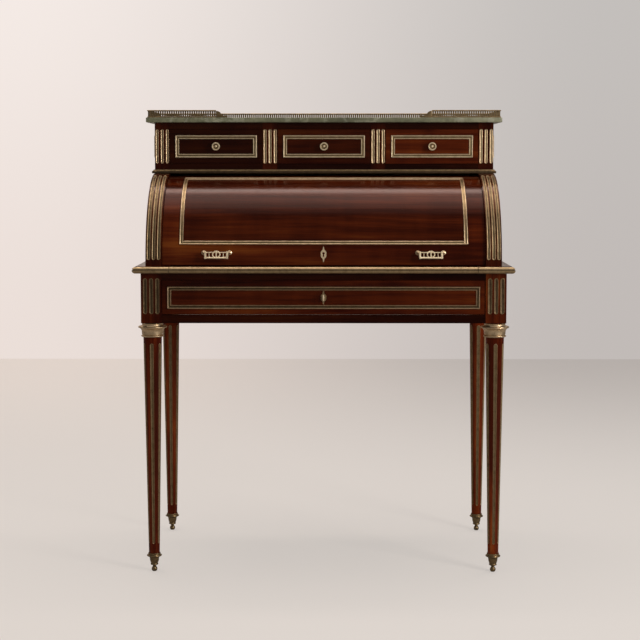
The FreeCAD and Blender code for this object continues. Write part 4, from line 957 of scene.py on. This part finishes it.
# The hollow between the ribs takes the second finish, painted dark as shade.
def in_hollow(u, v):
    return 3.45 < u < 7.45 and v > 0.1


def rectangle(work, width, height, matrix, section, steps=1):
    """Four mitred lengths on the plane X, Z that looks towards -Y, round the origin."""
    to_face = Matrix(((1, 0, 0, 0), (0, 0, -1, 0), (0, 1, 0, 0), (0, 0, 0, 1)))
    for turn, length, reach, parts in ((0, width, height, 1), (90, height, width, steps),
                                       (180, width, height, 1), (270, height, width, steps)):
        around = Matrix.Rotation(math.radians(-turn), 4, "Y")
        place = around @ Matrix.Translation((-length / 2 * mm, 0, -reach / 2 * mm)) @ to_face
        bar(work, section, length, matrix @ place, 1, -1, parts, in_hollow)


low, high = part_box("apron_drawer_moulding")
apron_frame = bmesh.new()
front_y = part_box("apron_drawer_front")[0].y
rectangle(apron_frame, (high.x - low.x) / mm, (high.z - low.z) / mm,
          Matrix.Translation((0, front_y, (low.z + high.z) / 2)), frame_section)
fitted("apron_frame", apron_frame, (brass, painted_shade_brass), "apron_drawer", "brass", "apron_drawer_moulding")

cylinder_frame = bmesh.new()
curved_width, curved_low_rise, curved_end, thinned = 700.0, 43.2, 76.0, 0.75
start_length = math.asin(curved_low_rise / shell_radius) * shell_radius
end_length = math.radians(curved_end) * shell_radius
rectangle(cylinder_frame, curved_width, end_length - start_length,
          Matrix.Translation((0, 0, (start_length + end_length) / 2 * mm)),
          [(u, v * thinned) for u, v in frame_section], 48)
wrapped(cylinder_frame, shell_radius)
fitted("cylinder_frame", cylinder_frame, (brass, toned_brass_and_painted_shade), "cylinder", "brass", "cylinder_moulding")

apron_side, case_side = ((438, 5, 676.75), 351, 54.5), ((431, 118, 1043.25), 196, 57)
side_frames = bmesh.new()
for side in (-1, 1):
    for (x, y, z), width, height in (apron_side, case_side):
        place = Matrix.Translation((side * x * mm, y * mm, z * mm))
        outwards = Matrix.Rotation(side * math.pi / 2, 4, "Z")
        rectangle(side_frames, width, height, place @ outwards, frame_section)
fitted("side_frames", side_frames, (brass, painted_shade_brass), "root", "brass", "side_frame_mouldings")


# The knobs: turned brass with a thin neck, a bright rolled rim, and a boss in the dished face, whose
# dish is painted darker as shade. The frame round each upper drawer is the same moulding as on the
# apron, gilt and matt, with its hollow painted darker as shade.
pale_brass = aged_brass("Matt gilt brass", (0.80, 0.68, 0.47), (0.50, 0.39, 0.24), 0.36, 0.6)
knob = [(0, 0), (7.2, 0), (7.2, 0.9), (5.6, 1.5), (4.2, 2.0), (3.5, 3.6), (3.4, 6.4), (4.4, 8.6), (8.6, 10.6)]
knob += sagging((9.4, 11.0), (9.2, 15.2), -1.1, 8) + sagging((9.2, 15.2), (7.2, 14.2), -0.6, 4)
knob += sagging((7.2, 14.2), (3.0, 13.4), 1.3, 6) + sagging((3.0, 13.4), (0, 15.0), -0.7, 5)
turned_knob = turned(knob, 40)
for face in turned_knob.faces:
    centre = face.calc_center_median() / mm
    if centre.z > 12.0 and 2.9 < math.hypot(centre.x, centre.y) < 7.2:
        face.material_index = 1
pattern = as_pattern(turned_knob)
to_front = Matrix.Rotation(math.pi / 2, 4, "X")
large_knob_width = 21.0
for name in ("upper_drawer_left", "upper_drawer_middle", "upper_drawer_right"):
    low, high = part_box(name + "_mounts")
    centre = Vector(((low.x + high.x) / 2, high.y, (low.z + high.z) / 2))
    mounts = bmesh.new()
    rectangle(mounts, (high.x - low.x) / mm, (high.z - low.z) / mm, Matrix.Translation(centre), frame_section)
    put(mounts, pattern, Matrix.Translation(centre) @ to_front)
    fitted(name + "_frame_and_knob", mounts, (pale_brass, toned_brass_and_painted_shade), name, "brass", name + "_mounts")
for name in ("inner_drawer_left", "inner_drawer_right"):
    low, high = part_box(name + "_knob")
    small = bmesh.new()
    put(small, pattern, Matrix.Translation(((low.x + high.x) / 2, high.y, (low.z + high.z) / 2))
        @ to_front @ Matrix.Scale((high.x - low.x) / mm / large_knob_width, 4))
    fitted(name + "_turned_knob", small, (brass, painted_shade_brass), name, "brass", name + "_knob")


# The two handles on the cylinder: cast brass. Two turned posts with rounded heads carry each bail,
# whose flat bar hangs from square blocks, with an oval ring and a strut in its middle.
handle_x, handle_rise, post_gap = 259.0, 24.0, 31.0
handle_turn = math.asin(handle_rise / shell_radius)
finial = [(0, 0), (5.8, 0), (5.8, 0.9), (4.8, 1.5), (4.8, 2.1), (2.8, 2.8), (2.2, 4.6), (2.2, 10.8)]
finial += sagging((2.2, 10.8), (1.4, 15.4), -0.9, 8) + sagging((1.4, 15.4), (0, 16.0), -0.2, 3)
pattern = as_pattern(turned(finial, 32))
outward = Matrix.Translation((0, -shell_radius * math.cos(handle_turn) * mm, axis_z + handle_rise * mm)) @ (
    Matrix.Rotation(math.pi / 2 - handle_turn, 4, "X"))
posts = bmesh.new()
for side in (-1, 1):
    for gap in (-post_gap, post_gap):
        put(posts, pattern, Matrix.Translation(((side * handle_x + gap) * mm, 0, 0)) @ outward)
fitted("turned_handle_posts", posts, brass, "cylinder", "brass", "handle_posts")


def cast_ring(work, wide, tall, radius, centre_z, steps=40, sides=10):
    """An oval ring of round rod that stands in the X and Z plane."""
    rings, across = [], Vector((0, 1, 0))
    for step in range(steps):
        angle = math.tau * step / steps
        out = Vector((math.cos(angle), 0, math.sin(angle)))
        middle = Vector((wide * math.cos(angle), 0, centre_z + tall * math.sin(angle)))
        turns = [math.tau * side / sides for side in range(sides)]
        ways = [out * math.cos(turn) + across * math.sin(turn) for turn in turns]
        rings.append([work.verts.new((middle + radius * way) * mm) for way in ways])
    for ring, after in zip(rings, rings[1:] + rings[:1]):
        for side in range(sides):
            follow = (side + 1) % sides
            work.faces.new((ring[side], after[side], after[follow], ring[follow]))


bail = bmesh.new()
eased_block(bail, (-30.4, -1.1, -1.1), (30.4, 1.1, 1.1), 0.7)
eased_block(bail, (-28.4, -2.2, -16.0), (28.4, 2.2, -11.4), 2.0)
for side in (-1, 1):
    eased_block(bail, (side * 26.4 - 2.3, -2.3, -16.4), (side * 26.4 + 2.3, 2.3, 2.0))
    eased_block(bail, (side * 17.0 - 0.8, -1.0, -12.0), (side * 17.0 + 0.8, 1.0, 0.5), 0.4)
cast_ring(bail, 8.8, 8.0, 1.5, -5.2)
eased_block(bail, (-1.5, -1.4, -13.0), (1.5, 1.4, 2.6), 0.5)
pattern = as_pattern(bail)
pivot_y, pivot_z, hanging_turn = -220.52, 785.62, -20
hang = Matrix.Translation((0, pivot_y * mm, pivot_z * mm)) @ (
    Matrix.Rotation(math.radians(hanging_turn), 4, "X"))
for side, name in ((-1, "bail_left"), (1, "bail_right")):
    cast = bmesh.new()
    put(cast, pattern, Matrix.Translation((side * handle_x * mm, 0, 0)) @ hang)
    fitted("cast_" + name, cast, pale_brass, name, "brass", name)


# The two escutcheons: cast brass plates with small finials, a raised edge and a keyhole. The one
# on the cylinder is bent to its curve. The key in the lower one is brass too.
def outline_reach(outline, angle):
    """How far the outline is from the origin in a direction."""
    way = Vector((math.sin(angle), math.cos(angle)))
    best = 0
    for first, second in zip(outline, outline[1:] + outline[:1]):
        side = Vector(second) - Vector(first)
        cross = way.x * side.y - way.y * side.x
        if abs(cross) > 1e-9:
            far = (first[0] * side.y - first[1] * side.x) / cross
            along = (first[0] * way.y - first[1] * way.x) / cross
            if far > 0 and -1e-6 <= along <= 1 + 1e-6:
                best = max(best, far)
    return best


def escutcheon(height, width, steps=96):
    """A plate that looks towards -Y, with a keyhole at the origin, in millimetres."""
    shares = [(0, 0), (0.07, 0.05), (0.12, 0.12), (0.11, 0.19), (0.2, 0.24), (0.38, 0.31), (0.48, 0.42)]
    shares += [(0.43, 0.5)] + [(x, 1 - z) for x, z in reversed(shares)]
    plate = [(x * width, (z - 0.5) * height) for x, z in shares]
    plate += [(-x, z) for x, z in reversed(plate[1:-1])]
    hole = [(3.0 * math.sin(math.radians(angle)), 2.2 + 3.0 * math.cos(math.radians(angle)))
            for angle in range(-148, 149, 8)] + [(1.9, -6.0), (-1.9, -6.0)]
    turns = [math.tau * step / steps for step in range(steps)]
    outer = [outline_reach(plate, turn) for turn in turns]
    inner = [outline_reach(hole, turn) for turn in turns]
    work = bmesh.new()
    loops = []
    for share, inset, y in ((1, 0, 0), (1, 0, -1.0), (1, -0.35, -1.5), (1, -0.9, -1.45), (1, -1.2, -0.9),
                            (0, 0.9, -0.9), (0, 0.6, -1.5), (0, 0.1, -1.4), (0, 0, 0)):
        loop = []
        for turn, far, near in zip(turns, outer, inner):
            reach = far + inset if share else near + inset
            reach = min(max(reach, near + (0.05 if share else 0)), far)
            loop.append(work.verts.new((reach * math.sin(turn) * mm, y * mm, reach * math.cos(turn) * mm)))
        loops.append(loop)
    for loop, after in zip(loops, loops[1:] + loops[:1]):
        for index in range(steps):
            follow = (index + 1) % steps
            work.faces.new((loop[index], loop[follow], after[follow], after[index]))
    return work


keyhole_climb = math.asin(20.5 / shell_radius) * shell_radius
plate = escutcheon(39.0, 15.0)
bmesh.ops.translate(plate, verts=plate.verts, vec=(0, 0, keyhole_climb * mm))
wrapped(plate, shell_radius)
fitted("cast_cylinder_escutcheon", plate, pale_brass, "cylinder", "brass", "cylinder_escutcheon")
plate = escutcheon(34.5, 15.0)
low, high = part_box("apron_drawer_escutcheon")
bmesh.ops.translate(plate, verts=plate.verts, vec=(0, high.y, (low.z + high.z) / 2))
fitted("cast_apron_escutcheon", plate, dulled_brass, "apron_drawer", "brass", "apron_drawer_escutcheon")
dress(pale_brass, "drawer_key")


# The ironwork inside: forged arms that carry the cylinder on their pivots, the two lock cases and
# the bolt of the long drawer, screwed to the wood and gone dark.
iron, shader, place = new_finish("Dark iron")
cloud = place.noise(60.0, 4.0, 0.6)
cloud.ramp((0.35, (0.040, 0.037, 0.034)), (0.7, (0.13, 0.12, 0.11))).into(shader, "Base Color")
(0.38 + cloud * 0.25).into(shader, "Roughness")
shader.inputs["Metallic"].default_value = 0.9
dress(iron, "cylinder_arms", "cylinder_lock", "apron_drawer_lock", "drawer_bolt")

low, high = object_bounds()
